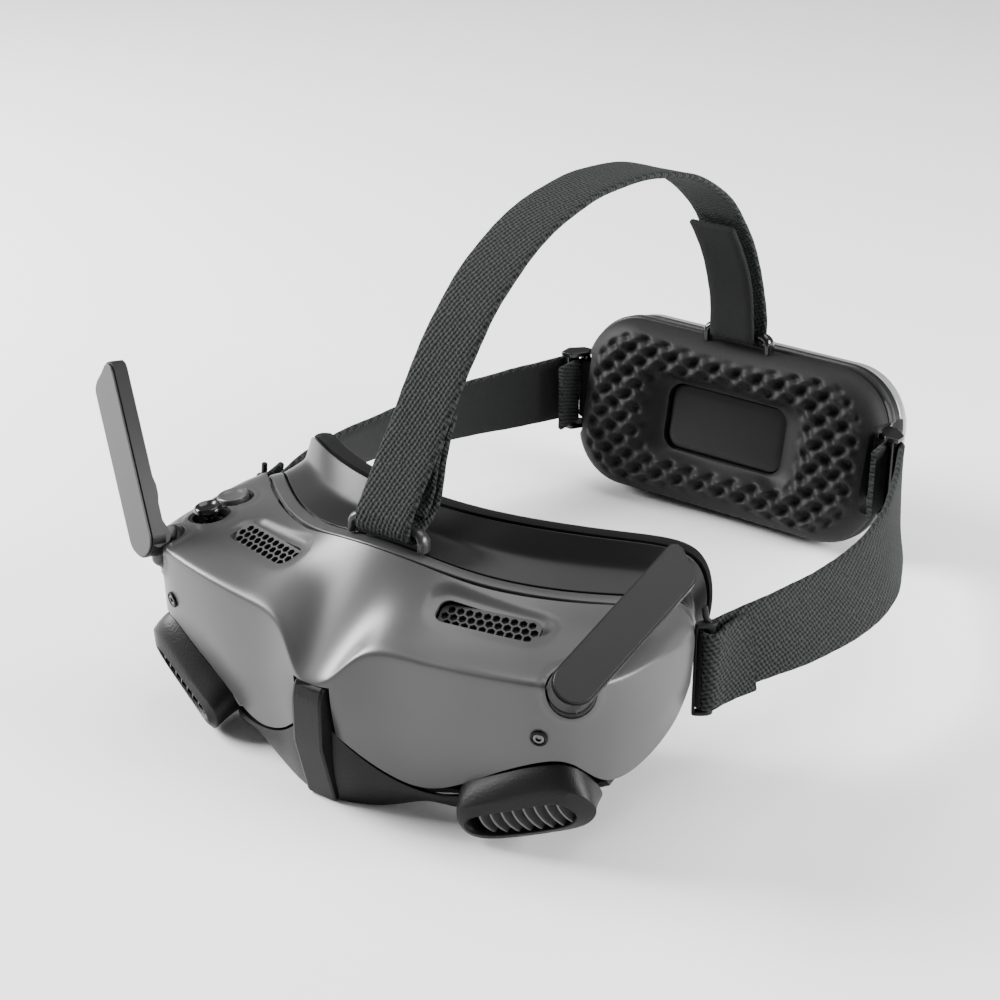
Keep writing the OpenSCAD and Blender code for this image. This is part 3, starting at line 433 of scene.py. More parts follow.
def placed_loop(loop, origin, matrix, mirror=False):
    """Turns points by a matrix, moves them to an origin and mirrors them for the left side."""
    p = np.asarray(loop, float) @ matrix.T + np.asarray(origin, float)
    return mirrored(p) if mirror else p


def placed(loops, origin, matrix, mirror=False):
    return [placed_loop(l, origin, matrix, mirror) for l in loops]


def prism(name, ring, heights, look, at, axis=2):
    """Straight solid of a flat outline between two heights, set in place by at."""
    return lofted(name, placed(levels(ring, heights, axis), *at), look)


def hole(ring, heights, at, axis=2):
    """A cutter of that outline; at is (origin, matrix) or (origin, matrix, mirror)."""
    return prism("cutter", ring, heights, "dark", at, axis)


def handed(loops, flip):
    """The loops as they are, or mirrored for the left side."""
    return [mirrored(l) for l in loops] if flip else loops


def rounded_rect(half_l, half_w, r, n=8):
    pts = []
    for cx, cy, start in ((1, 1, 0), (-1, 1, 90), (-1, -1, 180), (1, -1, 270)):
        for k in range(n + 1):
            a = math.radians(start + 90 * k / n)
            pts.append((cx * (half_l - r) + r * math.cos(a), cy * (half_w - r) + r * math.sin(a)))
    return np.array(pts)


def cut(obj, cutters):
    """Cuts closed solids that don't touch each other out of obj, in one go."""
    outward(obj)
    whole = bmesh.new()
    for c in cutters:
        whole.from_mesh(outward(c).data)
        bpy.data.objects.remove(c)
    data = bpy.data.meshes.new("cutters")
    whole.to_mesh(data)
    whole.free()
    tool = linked("cutters", data)
    mod = obj.modifiers.new("cut", "BOOLEAN")
    mod.operation = "DIFFERENCE"
    mod.solver = "MANIFOLD"
    mod.object = tool
    apply_all(obj)
    bpy.data.objects.remove(tool)
    obj.data.shade_smooth()
    obj.data.set_sharp_from_angle(angle=math.radians(45))
    return obj


def turned(name, profile, at, matrix, look, flip=False, sides=72):
    """A turned piece; the profile's points are (radius, height), with none or both ends on the axis."""
    verts, faces, rings = [], [], []
    for r, z in profile:
        count = 1 if r < 1e-6 else sides
        rings.append(range(len(verts), len(verts) + count))
        for k in range(count):
            a = 2 * math.pi * k / sides
            verts.append((r * math.cos(a), r * math.sin(a), z))
    for a, b in zip(rings, rings[1:]):
        for k in range(sides):
            k2 = (k + 1) % sides
            if len(a) == 1 and len(b) == 1:
                continue
            if len(a) == 1:
                faces.append((a[0], b[k], b[k2]))
            elif len(b) == 1:
                faces.append((a[k], b[0], a[k2]))
            else:
                faces.append((a[k], b[k], b[k2], a[k2]))
    return outward(make(name, placed_loop(verts, at, matrix, flip), faces, look, sharp=35))


def tube(name, points, across, half_a, half_b, look, sides=20, flip=False):
    """A rod of oval section along a path; half_a lies along the direction across, half_b square to it."""
    pts = np.array(points, float)
    half_a = np.broadcast_to(half_a, len(pts))
    ang = np.linspace(0, 2 * math.pi, sides, endpoint=False)
    loops = []
    for i, p in enumerate(pts):
        along = unit(pts[min(i + 1, len(pts) - 1)] - pts[max(i - 1, 0)])
        a = unit(across - (across @ along) * along)
        b = np.cross(along, a)
        loops.append(np.array([p + a * half_a[i] * math.cos(t) + b * half_b * math.sin(t) for t in ang]))
    return bevel(lofted(name, handed(loops, flip), look, sharp=50), 0.4, 2, 60)


# ---------------------------------------------------------------- front shell

SHELL_RAILS = [
    [[0, 32, 72.5], [0, 17, 57.8], [0, 0, 41], [0, 2.5, 33], [0, 5, 25]],
    [[8, 32.4, 72], [7.5, 18, 58.3], [6, 1, 42.5], [8, 2.2, 33], [8.5, 3.5, 24.5]],
    [[15, 33.5, 71], [14, 20, 61], [13.5, 5.5, 53.5], [14.5, 4.5, 34], [14, 6.5, 18.5]],
    [[24, 35.5, 69], [23, 22, 62.5], [22, 8, 56], [22, 7.2, 34], [22, 9.5, 13.5]],
    [[33, 39.5, 66], [33, 25, 62], [32, 9, 56], [32, 9, 33], [31, 12, 10.8]],
    [[44, 46.5, 63.3], [45, 30, 61], [46, 10.5, 57], [45, 11, 35], [41, 14.5, 13.5]],
    [[55, 53.5, 61.8], [57, 36, 60.5], [59, 13, 57.5], [58, 14, 40], [55, 16, 23.5]],
    [[66, 62, 60.6], [69, 44, 60], [72, 16.5, 58], [70, 17, 43], [69, 18, 31.5]],
    [[73, 68.5, 60], [76.5, 52, 59.5], [80.5, 23, 57], [79, 22.5, 44], [78, 22, 33.5]],
    [[77, 72.5, 59.5], [81, 60, 58.5], [85.5, 36, 55], [85, 33, 39], [83, 31, 20.5]],
    [[80, 75, 58.7], [84, 68, 57], [87, 54, 54], [87, 51, 36], [84.5, 50, 20]],
    [[82.5, 76, 56], [85.5, 73, 54], [87, 69, 51], [87, 67, 40], [85.5, 66, 26.5]],
    [[84, 75.5, 53], [85.5, 74, 50.5], [86, 73, 48], [86, 72.5, 42], [85.8, 72, 36.5]],
]
BROW_ROUND = 0.16
SHELL_WALL = 2.0

GRILLE_AT = arr(41.8, 32.1, 60.2)
GRILLE_TURN = turn(25.6, 1, 14.8)
GRILLE_HALF = (15.5, 4.5)
SCREW_AT = arr(69.2, 17.7, 39.5)
SCREW_TURN = turn(95.7, 0, 21.7)
STICK_AT = arr(-73.0, 40.0, 59.2)
BACK_BUTTON_AT = arr(-74.5, 53.0, 59.3)
STICK_TURN = turn(3.5, -7, 0)
CONTROL_R = 6.6
HINGE_AT = arr(78.9, 19.0, 58.2)
HINGE_TURN = turn(45, 29.7, 6.7)
KNUCKLE_R = 7.0
SLACK = 0.25
POCKET_CORNER = 3.0
# height, radius and width of a lip
SOCKET_LIP, CONTROL_LIP = (0.55, 7.9, 0.75), (0.3, 7.6, 0.7)
CONTROL_DISH = 0.25


def shell_station(s):
    """Nine control points from a station's five, with two close to the brow so that it stays crisp."""
    t, p, c, f, b = (np.array(v, float) for v in s)
    return [t, (t + p) / 2, p, c + BROW_ROUND * 1.6 * (p - c), c, c + BROW_ROUND * (f - c), f, (f + b) / 2, b]


def ridge(r, lip):
    """Height of a round lip at distance r from its centre; lip is (height, radius, width)."""
    high, radius, width = lip
    return high * np.exp(-((r - radius) / width) ** 2)


def shell_shape(g, out):
    """Soft pockets round the grilles, and a lip round each antenna socket and control."""
    lift = np.zeros(g.shape[:2])
    for side in (1, -1):
        p = g * np.array([side, 1, 1])
        local = (p - GRILLE_AT) @ GRILLE_TURN
        q = np.abs(local[..., :2] - arr(0, 1.0)) - (arr(*GRILLE_HALF) - POCKET_CORNER)
        d = np.linalg.norm(np.maximum(q, 0), axis=-1) + np.minimum(q.max(-1), 0) - POCKET_CORNER
        depth = (1 - smooth(0.6, 4.4, d)) * (0.3 + 1.15 * smooth(-5, 5, local[..., 1]))
        lift -= depth * (np.abs(local[..., 2]) < 8)
        local = (p - HINGE_AT) @ HINGE_TURN
        near = (local[..., 2] > -18) & (local[..., 2] < 6)
        lift += ridge(np.linalg.norm(local[..., :2], axis=-1), SOCKET_LIP) * near
    for centre in (STICK_AT, BACK_BUTTON_AT):
        local = (g - centre) @ STICK_TURN
        r = np.linalg.norm(local[..., :2], axis=-1)
        dish = CONTROL_DISH * (1 - smooth(8.2, 11, r))
        lift += (ridge(r, CONTROL_LIP) - dish) * (np.abs(local[..., 2]) < 6)
    return g + lift[..., None] * out


def build_shell():
    net = both_sides([shell_station(s) for s in SHELL_RAILS])
    fine = 11
    shell = wall("front_shell_skin", net, fine, fine, SHELL_WALL, "shell", shape=shell_shape)
    cutters = []
    for _, flip in SIDES:
        cutters.append(hole(rounded_rect(*GRILLE_HALF, 3.2), (-7, 7), (GRILLE_AT, GRILLE_TURN, flip)))
        cutters.append(hole(circle(KNUCKLE_R + SLACK, 72), (-24, 0), (HINGE_AT, HINGE_TURN, flip)))
        cutters.append(hole(circle(2.1, 40), (-8, 8), (SCREW_AT, SCREW_TURN, flip)))
    for centre in (STICK_AT, BACK_BUTTON_AT):
        cutters.append(hole(circle(CONTROL_R + SLACK, 72), (-8, 8), (centre, STICK_TURN)))
    keel_slot = [(-6.7, -10), (6.7, -10), (6.7, 14), (-6.7, 14)]
    cutters.append(cutter(levels(keel_slot, (15, 41.4))))
    settle(cut(shell, cutters), "front_shell")


build_shell()

# ---------------------------------------------------------------- rear frame, shroud, foam and belly

FRAME_FRONT = [
    [0, 33.2, 72.4], [15, 34.7, 70.9], [33, 40.8, 65.8], [55, 54.8, 61.5], [73, 70, 59.6], [80.6, 77, 57.2],
    [84, 78, 50], [84.4, 75.6, 38], [82, 70, 28], [72, 63, 22.4], [55, 55, 19.2], [38, 49.4, 17.6],
    [24, 45.6, 22], [12.5, 43, 34], [0, 42, 39],
]
FRAME_DEPTH = 4.4
LIP_RING = [
    [0, 60, 75.6], [16, 61, 75.4], [34, 65.5, 74.9], [54, 75.5, 73], [69.5, 87, 70.6], [75.8, 93, 64.5],
    [77, 96, 53], [76.5, 95.5, 41], [73, 91, 29], [65, 83, 19], [52, 74.5, 12], [37, 67, 9.6],
    [23, 61, 17], [12, 57, 30], [0, 55, 37],
]
FOAM_DEPTH, SHROUD_DIP = 6.5, 3.2
BELLY_STATIONS = [
    [[0, 12.6, 2.6], [0, 26, 22], [0, 41, 38.6]],
    [[10, 12.5, 2], [10, 27, 16], [11, 42, 34]],
    [[20, 14.5, 3.6], [21, 28, 9], [22, 44, 21.4]],
    [[30, 18, 6.6], [31, 32, 10], [33, 46.5, 17]],
    [[44, 24.5, 7], [45, 37, 11], [46, 50.5, 17.2]],
    [[56, 33.5, 6.5], [57, 43, 13], [58, 55.4, 18.4]],
    [[68, 38, 9.6], [69, 49, 15.6], [69, 60.4, 20.6]],
    [[78.5, 40.5, 15], [78.5, 54, 18.6], [78, 66.5, 24.2]],
]
EYE_X, KNOB_Y, EYE_TRAVEL = 32.0, 37.0, 4.0


def build_ring_parts():
    fine = 9
    stations = []
    for p in FRAME_FRONT:
        p = arr(*p)
        back = p + arr(-0.025 * p[0], FRAME_DEPTH, 0.2)
        mid = p + arr(-0.012 * p[0], FRAME_DEPTH / 2, 0.3)
        stations.append([back, mid, p])
    band = wall("rear_band", whole_ring(stations), fine, 4, 2.6, "band", closed=True)
    settle(bevel(band, 0.55), "rear_frame")
    shroud, foam = [], []
    for s, lip in zip(stations, LIP_RING):
        root = s[0] + arr(-0.006 * s[0][0], 0.45, 0)
        lip = arr(*lip)
        mid = (root + lip) / 2
        dip = mid + SHROUD_DIP * unit(arr(0, mid[1], 45) - mid)
        shroud.append([lip, 0.2 * lip + 0.8 * dip, dip, root])
        foam.append([
            lip + arr(-0.03 * lip[0], FOAM_DEPTH, -0.4), lip + arr(0, FOAM_DEPTH / 2 + 0.8, 0.2),
            lip + arr(0, 1.7, 0),
        ])
    skin = wall("face_shroud_moulding", whole_ring(shroud), fine, 10, 1.6, "shroud", closed=True)
    settle(bevel(skin, 0.5), "face_shroud")
    ring = wall("face_foam_ring", whole_ring(foam), fine, 5, 6.0, "foam", closed=True)
    settle(bevel(ring, 1.9, 5), "face_foam")
    belly = wall("belly_panel", both_sides(BELLY_STATIONS), fine, 10, 1.8, "trim")
    cutters = []
    for s in (-1, 1):
        path = []
        for k in range(32):
            a = 2 * math.pi * k / 32
            travel = EYE_TRAVEL if math.cos(a) > 1e-9 else -EYE_TRAVEL
            path.append((s * EYE_X + travel + 2.7 * math.cos(a), KNOB_Y + 2.7 * math.sin(a)))
        cutters.append(cutter(levels(path, (-2, 22))))
    settle(cut(belly, cutters), "belly_cover")


build_ring_parts()

# ---------------------------------------------------------------- keel and lower trim

TRIM_STATIONS = [
    [[5.8, 3.7, 25.6], [5.8, 3, 13], [5.8, 6, 0.6]],
    [[10, 4.7, 21.4], [11, 4.5, 12], [12, 8, 0.4]],
    [[17, 8, 15.2], [18, 8, 9], [19, 10.8, 1]],
    [[25, 10.3, 11.5], [26, 10.2, 8], [26, 12.4, 3.8]],
    [[32, 12.3, 10], [32.5, 12.1, 8.6], [32.5, 13.8, 6.8]],
    [[38, 14, 10], [38, 13.4, 8.6], [38.5, 15, 6.6]],
    [[43, 16.5, 10.5], [43, 16, 8.6], [43.5, 17.5, 6]],
]
KEEL_HALF = 5.5
KEEL_PROFILE = [
    [1.6, 41.6], [0.2, 40.6], [-0.7, 37.5], [-1, 36], [-1, 21], [4.6, 0], [11, 0], [11.5, 12],
    [9, 24], [8, 41.6],
]


def build_trim():
    keel = lofted("keel", levels(KEEL_PROFILE, (-KEEL_HALF, KEEL_HALF), 0), "trim")
    bevel(keel, 1.15, 1, 20)
    bevel(keel, 0.18, 2, 20)
    settle(keel, "lower_trim")
    fine = 10
    for side, flip in SIDES:
        band = wall("lower_trim_" + side, TRIM_STATIONS, fine, fine, 2.2, "trim", flip=flip)
        settle(bevel(band, 0.35, 2))


build_trim()

# ---------------------------------------------------------------- outlet pods

POD_SEAM = [
    [42.6, 15.4, 12], [44.4, 15, 17.3], [51, 15.8, 20.6], [60, 16.9, 25.6], [70, 19.3, 30.7],
    [76, 21.6, 31.5],
    [79.5, 25.5, 28.5], [82, 31.5, 20.2], [80, 36, 13], [68, 34, 8], [56, 30, 4.5], [46, 22, 5],
]
POD_RIM = [
    [45.4, 9.6, 8.6], [47.4, 9, 12.6], [55, 10.8, 15.6], [65, 13.4, 20.4], [75, 16.4, 25], [80.5, 19, 25],
    [84.6, 22.8, 21], [85, 25, 16.4], [81.5, 24.8, 10.8], [74, 22, 7.6], [57, 15.8, 1.2], [48.4, 11.4, 1],
]
VENT_LIP = [
    [49, 8.8, 6.6], [50.4, 8.9, 9.9], [56, 10.6, 12.2], [65, 12.9, 16.2], [74, 15.4, 20.4],
    [78.2, 17.3, 20.6],
    [80.8, 19.8, 17.6], [80.6, 21, 14.6], [77.6, 20.9, 11.2], [71, 18.8, 8.4],
    [58, 14.4, 3.6], [51, 10.6, 3.4],
]
VENT_DIR = arr(-0.34, 0.92, 0.21)
LOUVRES, LOUVRE_PITCH = 8, 3.55


def build_pod(side, flip):
    n = 12
    seam, rim, lip = (closed_curve(c, n) for c in (POD_SEAM, POD_RIM, VENT_LIP))
    centre = lip.mean(0)
    loops = [
        seam,
        0.72 * seam + 0.28 * rim + arr(0, -0.35, 0.3),
        0.4 * seam + 0.6 * rim + arr(0, -0.5, 0.3),
        0.12 * seam + 0.88 * rim + arr(0, -0.2, 0.1),
        rim,
        0.55 * rim + 0.45 * lip,
        lip,
        lip + 0.8 * VENT_DIR + 0.04 * (centre - lip),
        lip + 6.5 * VENT_DIR + 0.12 * (centre - lip),
    ]
    if flip:
        loops = [mirrored(l)[::-1] for l in loops]
    pod = lofted("outlet_pod_" + side, loops, "trim", sharp=24)
    settle(bevel(pod, 0.35, 2, 22), "outlet_pods")
    build_louvres(side, flip, lip + 1.6 * VENT_DIR + 0.05 * (centre - lip), centre)


def build_louvres(side, flip, inner, centre):
    """Bowed ribs across the vent, each as long as the inner outline is wide there."""
    along = unit(arr(27.5, 8.3, 11.5))
    down = unit(np.cross(along, VENT_DIR))
    down = -down if down[2] > 0 else down
    steps = 14
    for k in range(LOUVRES):
        at = (k - (LOUVRES - 1) / 2) * LOUVRE_PITCH - 0.6
        offsets = inner - centre
        near = np.abs(offsets @ along - at - 0.10 * (offsets @ down)) < 1.2
        start, end = (offsets[near] @ down).min(), (offsets[near] @ down).max()
        verts, faces = [], []
        for i in range(steps + 1):
            f = i / steps
            across = start + (end - start) * f
            bow = 1.7 * (f - 0.5) ** 2 * 4
            base = centre + (at + 0.5 * across * 0.35 + 0.45 * bow) * along + across * down
            for dx, dy in ((-0.28, 1.0), (0.28, 1.0), (1.5, 4.6), (0.95, 4.6)):
                verts.append(base + dx * along + (dy + 0.35 * bow) * VENT_DIR)
        for i in range(steps):
            for c in range(4):
                a, b = i * 4 + c, i * 4 + (c + 1) % 4
                faces.append((a, b, b + 4, a + 4))
        faces += [(3, 2, 1, 0), tuple(steps * 4 + c for c in range(4))]
        verts = mirrored(verts) if flip else verts
        # Right louvres get the lighter rib colour and left ones the dark trim colour: lit and shaded copies
        # of one rib, painted light and painted shade.
        rib = outward(make(f"louvre_{side}_{k}", verts, faces, "trim" if flip else "rib", sharp=30))
        settle(rib, "outlet_louvres")


for pod_side, pod_flip in SIDES:
    build_pod(pod_side, pod_flip)

# ---------------------------------------------------------------- antennas

ANTENNA_LEN, ANTENNA_W = 53.0, 12.8
FOLD_ANGLE, RAISE_ANGLE = 111.0, 56.0
PADDLE_BACK, PADDLE_FRONT = 1.9, -2.9
TONGUE_W, TONGUE_R = 4.4, 2.4
HUB_PROFILE = [
    (-2.85, -3.4), (-1.4, -4.25), (0, -4.5), (1.7, -4.15), (3.2, -3.2), (4.2, -1.6), (4.3, 0), (3.5, 1.5),
    (2.5, 4), (2.15, 7), (2.5, 9.6), (3.15, 12), (3.2, 15), (2.6, 17.6), (1.5, 19.5), (-2.85, 19.5),
]


def paddle_outline(margin):
    """Outline of the antenna blade in its XZ plane: a round foot and a tip cut at a slant."""
    w, top = ANTENNA_W / 2 - margin, ANTENNA_LEN - margin
    foot = [(w * math.cos(a), w * math.sin(a)) for a in np.linspace(math.pi, 2 * math.pi, 33)]
    tip = [
        (w, top - 4.3), (w - 0.5, top - 2.9), (w - 1.8, top - 1.7), (0.5, top + 0.4),
        (-w + 3.4, top + 2.3), (-w + 1.6, top + 2.2), (-w + 0.4, top + 1.0), (-w, top - 0.6),
    ]
    return np.array(foot + tip)


def turned_points(radius, angles):
    return [(radius * math.cos(a), radius * math.sin(a)) for a in angles]


def tongue_slot():
    """Outline of the slot that clears the fixed tongue from the raised to the folded position."""
    first, last = (math.radians(a - 90) for a in (RAISE_ANGLE, FOLD_ANGLE))
    profile = turned_points(TONGUE_R + 0.45, np.linspace(last + math.pi / 2, first + 1.5 * math.pi, 14))
    for corner, a in ((profile[-1], first), (profile[0], last)):
        profile.append(tuple(arr(*corner) + 14 * arr(math.cos(a), math.sin(a))))
    return profile


def build_antenna(side, angle, flip, plate_look):
    at = (HINGE_AT, HINGE_TURN @ turn(-angle, 0, 0), flip)
    body = "antenna_" + side
    half_slot, half_neck = TONGUE_W / 2 + 0.35, ANTENNA_W / 2 - 1.0

    def slotted(piece):
        return cut(piece, [hole(tongue_slot(), (-half_slot, half_slot), at, 0)])

    heights = (PADDLE_FRONT, PADDLE_BACK)
    paddle = slotted(prism("antenna_paddle_" + side, paddle_outline(0.0), heights, "paddle", at, 1))
    settle(bevel(paddle, 0.7, 3, 30), "antenna_body_" + side, body=body)
    heights = (PADDLE_FRONT - 0.75, PADDLE_FRONT - 0.03)
    face = prism("antenna_face_" + side, paddle_outline(0.55), heights, plate_look, at, 1)
    settle(bevel(face, 0.35, 3, 30), "antenna_plate_" + side, body=body)
    neck = slotted(prism("antenna_neck_" + side, HUB_PROFILE, (-half_neck, half_neck), "paddle", at, 0))
    settle(bevel(neck, 0.45, 3, 30), body=body)


# The folded right antenna's plate gets the darker copy of the plate colour, painted shade; the raised left
# one gets the plate's colour.
build_antenna("right", FOLD_ANGLE, False, "plate_painted_shade")
build_antenna("left", RAISE_ANGLE, True, "plate")


def build_knuckle(side, flip):
    """Round seat of an antenna: a barrel with a rolled edge, and the tongue the hub turns on."""
    profile = [
        (0.0, -5.5), (5.9, -5.5), (6.5, -5.62), (6.85, -5.95), (KNUCKLE_R, -6.5), (KNUCKLE_R, -13.0),
        (3.4, -13.0), (3.4, -9.0), (0.0, -9.0),
    ]
    barrel = turned("knuckle_" + side, profile, HINGE_AT, HINGE_TURN, "trim", flip, 96)
    settle(barrel, "knuckle_" + side)
    arch = turned_points(TONGUE_R, np.linspace(math.pi, 0, 17))
    tongue = [(-TONGUE_R, -5.6)] + arch + [(TONGUE_R, -5.6)]
    heights, at = (-TONGUE_W / 2, TONGUE_W / 2), (HINGE_AT, HINGE_TURN, flip)
    piece = prism("knuckle_tongue_" + side, tongue, heights, "trim", at, 0)
    settle(bevel(piece, 0.25, 2, 30))


for knuckle_side, knuckle_flip in SIDES:
    build_knuckle(knuckle_side, knuckle_flip)

# ---------------------------------------------------------------- joystick, button and screws


def build_controls():
    cap = [
        (0, 1.95), (1.6, 2.05), (2.8, 2.45), (3.4, 2.9), (3.9, 3.0), (4.35, 2.65), (4.6, 1.9), (4.55, 1.3),
        (4.1, 0.7), (3.2, 0.0), (2.6, -0.35), (1.2, -0.4), (1.2, -2.0), (0, -2.0),
    ]
    piece = turned("joystick_cap_turned", cap, STICK_AT, STICK_TURN, "gloss")
    settle(piece, "joystick_cap", body="stick_cap")
    button = [
        (0, 0.35), (2.0, 0.42), (3.4, 0.8), (4.2, 1.25), (4.7, 1.3), (5.05, 1.1), (5.2, 0.6), (5.2, -3.6),
        (0, -3.6),
    ]
    piece = turned("back_button_turned", button, BACK_BUTTON_AT, STICK_TURN, "button")
    settle(piece, "back_button", body="back_key")


HEX_PITCH, HEX_R = 2.75, 1.28
GRILLE_PLAY, GRILLE_CORNER = 0.12, 3.1


def hexagons(half_l, half_w):
    """Outlines of the honeycomb's holes that fit inside the rounded grille."""
    angles = [math.radians(30 + 60 * k) for k in range(6)]
    shapes = []
    for row in range(-2, 3):
        for col in range(-8, 9):
            x = (col + 0.5 * (row % 2)) * HEX_PITCH
            y = row * HEX_PITCH * math.cos(math.radians(30))
            reach = math.hypot(
                max(abs(x) - half_l + GRILLE_CORNER, 0), max(abs(y) - half_w + GRILLE_CORNER, 0),
            )
            inside = abs(y) <= half_w - HEX_R and abs(x) <= half_l - HEX_R - 0.1
            if inside and reach <= GRILLE_CORNER - HEX_R - 0.1:
                shapes.append([(x + HEX_R * math.cos(a), y + HEX_R * math.sin(a)) for a in angles])
    return shapes


def build_grilles():
    """Honeycomb of thin webs over a dark tray, let into the shell; an apron closes the inner end."""
    half_l, half_w = (half - GRILLE_PLAY for half in GRILLE_HALF)
    rim = rounded_rect(half_l, half_w, GRILLE_CORNER)
    apron = rounded_rect(half_l * 0.5, half_w + 2.2, 5.0) - arr(half_l * 0.5 + 1, 0)
    for side, flip in SIDES:
        at = (GRILLE_AT, GRILLE_TURN, flip)
        plate = prism("grille_mesh_" + side, rim, (-1.2, -0.15), "mesh", at)
        cut(plate, [hole(hexagon, (-2, 2), at) for hexagon in hexagons(half_l, half_w)])
        settle(plate, "intake_grille_" + side)
        settle(prism("grille_tray_" + side, rim * 0.995, (-1.75, -1.15), "dark", at))
        settle(prism("grille_apron_" + side, apron, (-1.9, -1.4), "dark", at))


def build_screws():
    head = [
        (0, 0.0), (0.85, 0.0), (0.9, 0.62), (1.35, 0.72), (1.62, 0.6), (1.75, 0.3), (1.75, -1.2), (0, -1.2),
    ]
    cup = [
        (1.85, -1.0), (1.85, 0.5), (2.0, 0.75), (2.3, 0.8), (2.55, 0.62), (2.6, 0.2), (2.05, -0.2),
        (2.05, -1.0), (1.85, -1.0),
    ]
    for side, flip in SIDES:
        piece = turned("screw_head_" + side, head, SCREW_AT, SCREW_TURN, "screw", flip, 36)
        settle(piece, *replaced_once(side, "shell_screws"))
        settle(turned("screw_cup_" + side, cup, SCREW_AT, SCREW_TURN, "dark", flip, 48))


build_controls()
build_grilles()
build_screws()

# ---------------------------------------------------------------- webbing

TOP_W, SIDE_W, STRAP_T = 20.0, 26.0, 2.0
TAPE_EDGE, SELVEDGE, SELVEDGE_W = 0.8, 0.10, 2.5
BAR_R, BRACKET, ANCHOR_R = 1.8, arr(39.5, 77), 1.7
PACK_AT = arr(0, 239, 35)
PACK_TURN = turn(-12, 0, 0)
PACK_W, PACK_H, CORNER = 64.0, 33.0, 22.0
PACK_BAR = arr(246.5, 71.6)
WRAP_R = BAR_R + SLACK + STRAP_T / 2
SIDE_WRAP = ANCHOR_R + SLACK + STRAP_T / 2
ANCHOR_AT = arr(86.8, 80.5, 38)
BUCKLE_AT = arr(68.6, 238.6, 34.4)
BUCKLE_BACK = arr(-4.3, 5.4, 0)
ACROSS = arr(1, 0, 0)
UP = arr(0, 0, 1)
SIDE_FITTING = SIDE_W / 2 + 1.9
ENDS = ((-1, "low"), (1, "high"))
ANCHOR_DROP = [
    (2.1, 0), (1.5, 1.5), (-0.6, 2.0), (-2.6, 1.5), (-4.5, 0.9), (-4.9, 0), (-4.5, -0.9), (-2.6, -1.5),
    (-0.6, -2.0), (1.5, -1.5),
]
BUCKLE_PLATE = [(2.5, -2.3), (2.6, 2.7), (-2.2, 7.2), (-6.0, 7.2), (-6.4, 3.2), (-2.6, -2.5)]


def strap_section(w, t, n=7):
    """Section of woven tape: flat faces, slightly raised selvedges and rounded edges."""
    edge = w / 2 - TAPE_EDGE

    def face(x, side):
        return x, side * (t / 2 + SELVEDGE * (abs(x) > w / 2 - SELVEDGE_W))

    def end(sign, a):
        return sign * edge + TAPE_EDGE * math.cos(math.radians(a)), t / 2 * math.sin(math.radians(a))

    pts = [face(x, 1) for x in np.linspace(-edge, edge, n)] + [end(1, a) for a in np.linspace(70, -70, 5)]
    pts += [face(x, -1) for x in np.linspace(edge, -edge, n)] + [end(-1, a) for a in np.linspace(250, 110, 5)]
    return np.array(pts)


def webbing(name, path, w, t, look, flip=False, inner=None):
    """Tape w wide and t thick along (place, across) pairs; inner is the look of its inner face."""
    pos = np.array([p for p, _ in path])
    section = strap_section(w, t)
    m = len(section)
    length = 0.0
    verts, uvs, faces = [], [], []
    for i, (p, across) in enumerate(path):
        along = unit(pos[min(i + 1, len(pos) - 1)] - pos[max(i - 1, 0)])
        out = unit(np.cross(along, across))
        across = unit(np.cross(out, along))
        if i:
            length += np.linalg.norm(p - pos[i - 1])
        wave = 0.10 * math.sin(length * 0.31) + 0.08 * math.sin(length * 0.83 + 1.0)
        for sx, st in section:
            ripple = 0.12 * math.sin(length * 0.21 + sx * 0.12)
            verts.append(p + across * sx * (1 + wave / w) + out * (st + ripple))
            uvs.append((sx, length + (0.5 if st > 0 else 0.0)))
    for i in range(len(pos) - 1):
        for c in range(m):
            a, b = i * m + c, i * m + (c + 1) % m
            faces.append((a, a + m, b + m, b))
    faces += [tuple(range(m)), tuple((len(pos) - 1) * m + c for c in reversed(range(m)))]
    obj = make(name, mirrored(verts) if flip else verts, faces, look, uv=uvs, sharp=60)
    if inner:
        obj.data.materials.append(MAT[inner])
        for i in range(len(pos) - 1):
            for c in range(m // 2, m - 2):
                obj.data.polygons[i * m + c].material_index = 1
    return outward(obj)


def wrap_yz(c, a0, a1, n):
    """Strap path round a bar along X, from angle a0 to a1."""
    return [
        (arr(0, c[0] + WRAP_R * math.cos(a), c[1] + WRAP_R * math.sin(a)), ACROSS)
        for a in np.radians(np.linspace(a0, a1, n + 1))
    ]


def wrap_xy(c, a0, a1, n):
    """Strap path round an upright bar, from angle a0 to a1."""
    return [
        (c + SIDE_WRAP * arr(math.cos(a), math.sin(a), 0), UP) for a in np.radians(np.linspace(a0, a1, n + 1))
    ]


def in_yz(points, n):
    """Strap path through (y, z) points on the middle plane."""
    return [(arr(0, y, z), ACROSS) for y, z in open_curve(points, n)]


def leaning(route, n):
    """Route points [place, lean]: the strap's top edge leans in towards the head by the lean angle."""
    pos = open_curve([r[0] for r in route], n)
    lean = open_curve([[r[1], 0] for r in route], n)[:, 0]
    return [(p, arr(-math.sin(a), 0, math.cos(a))) for p, a in zip(pos, np.radians(lean))]


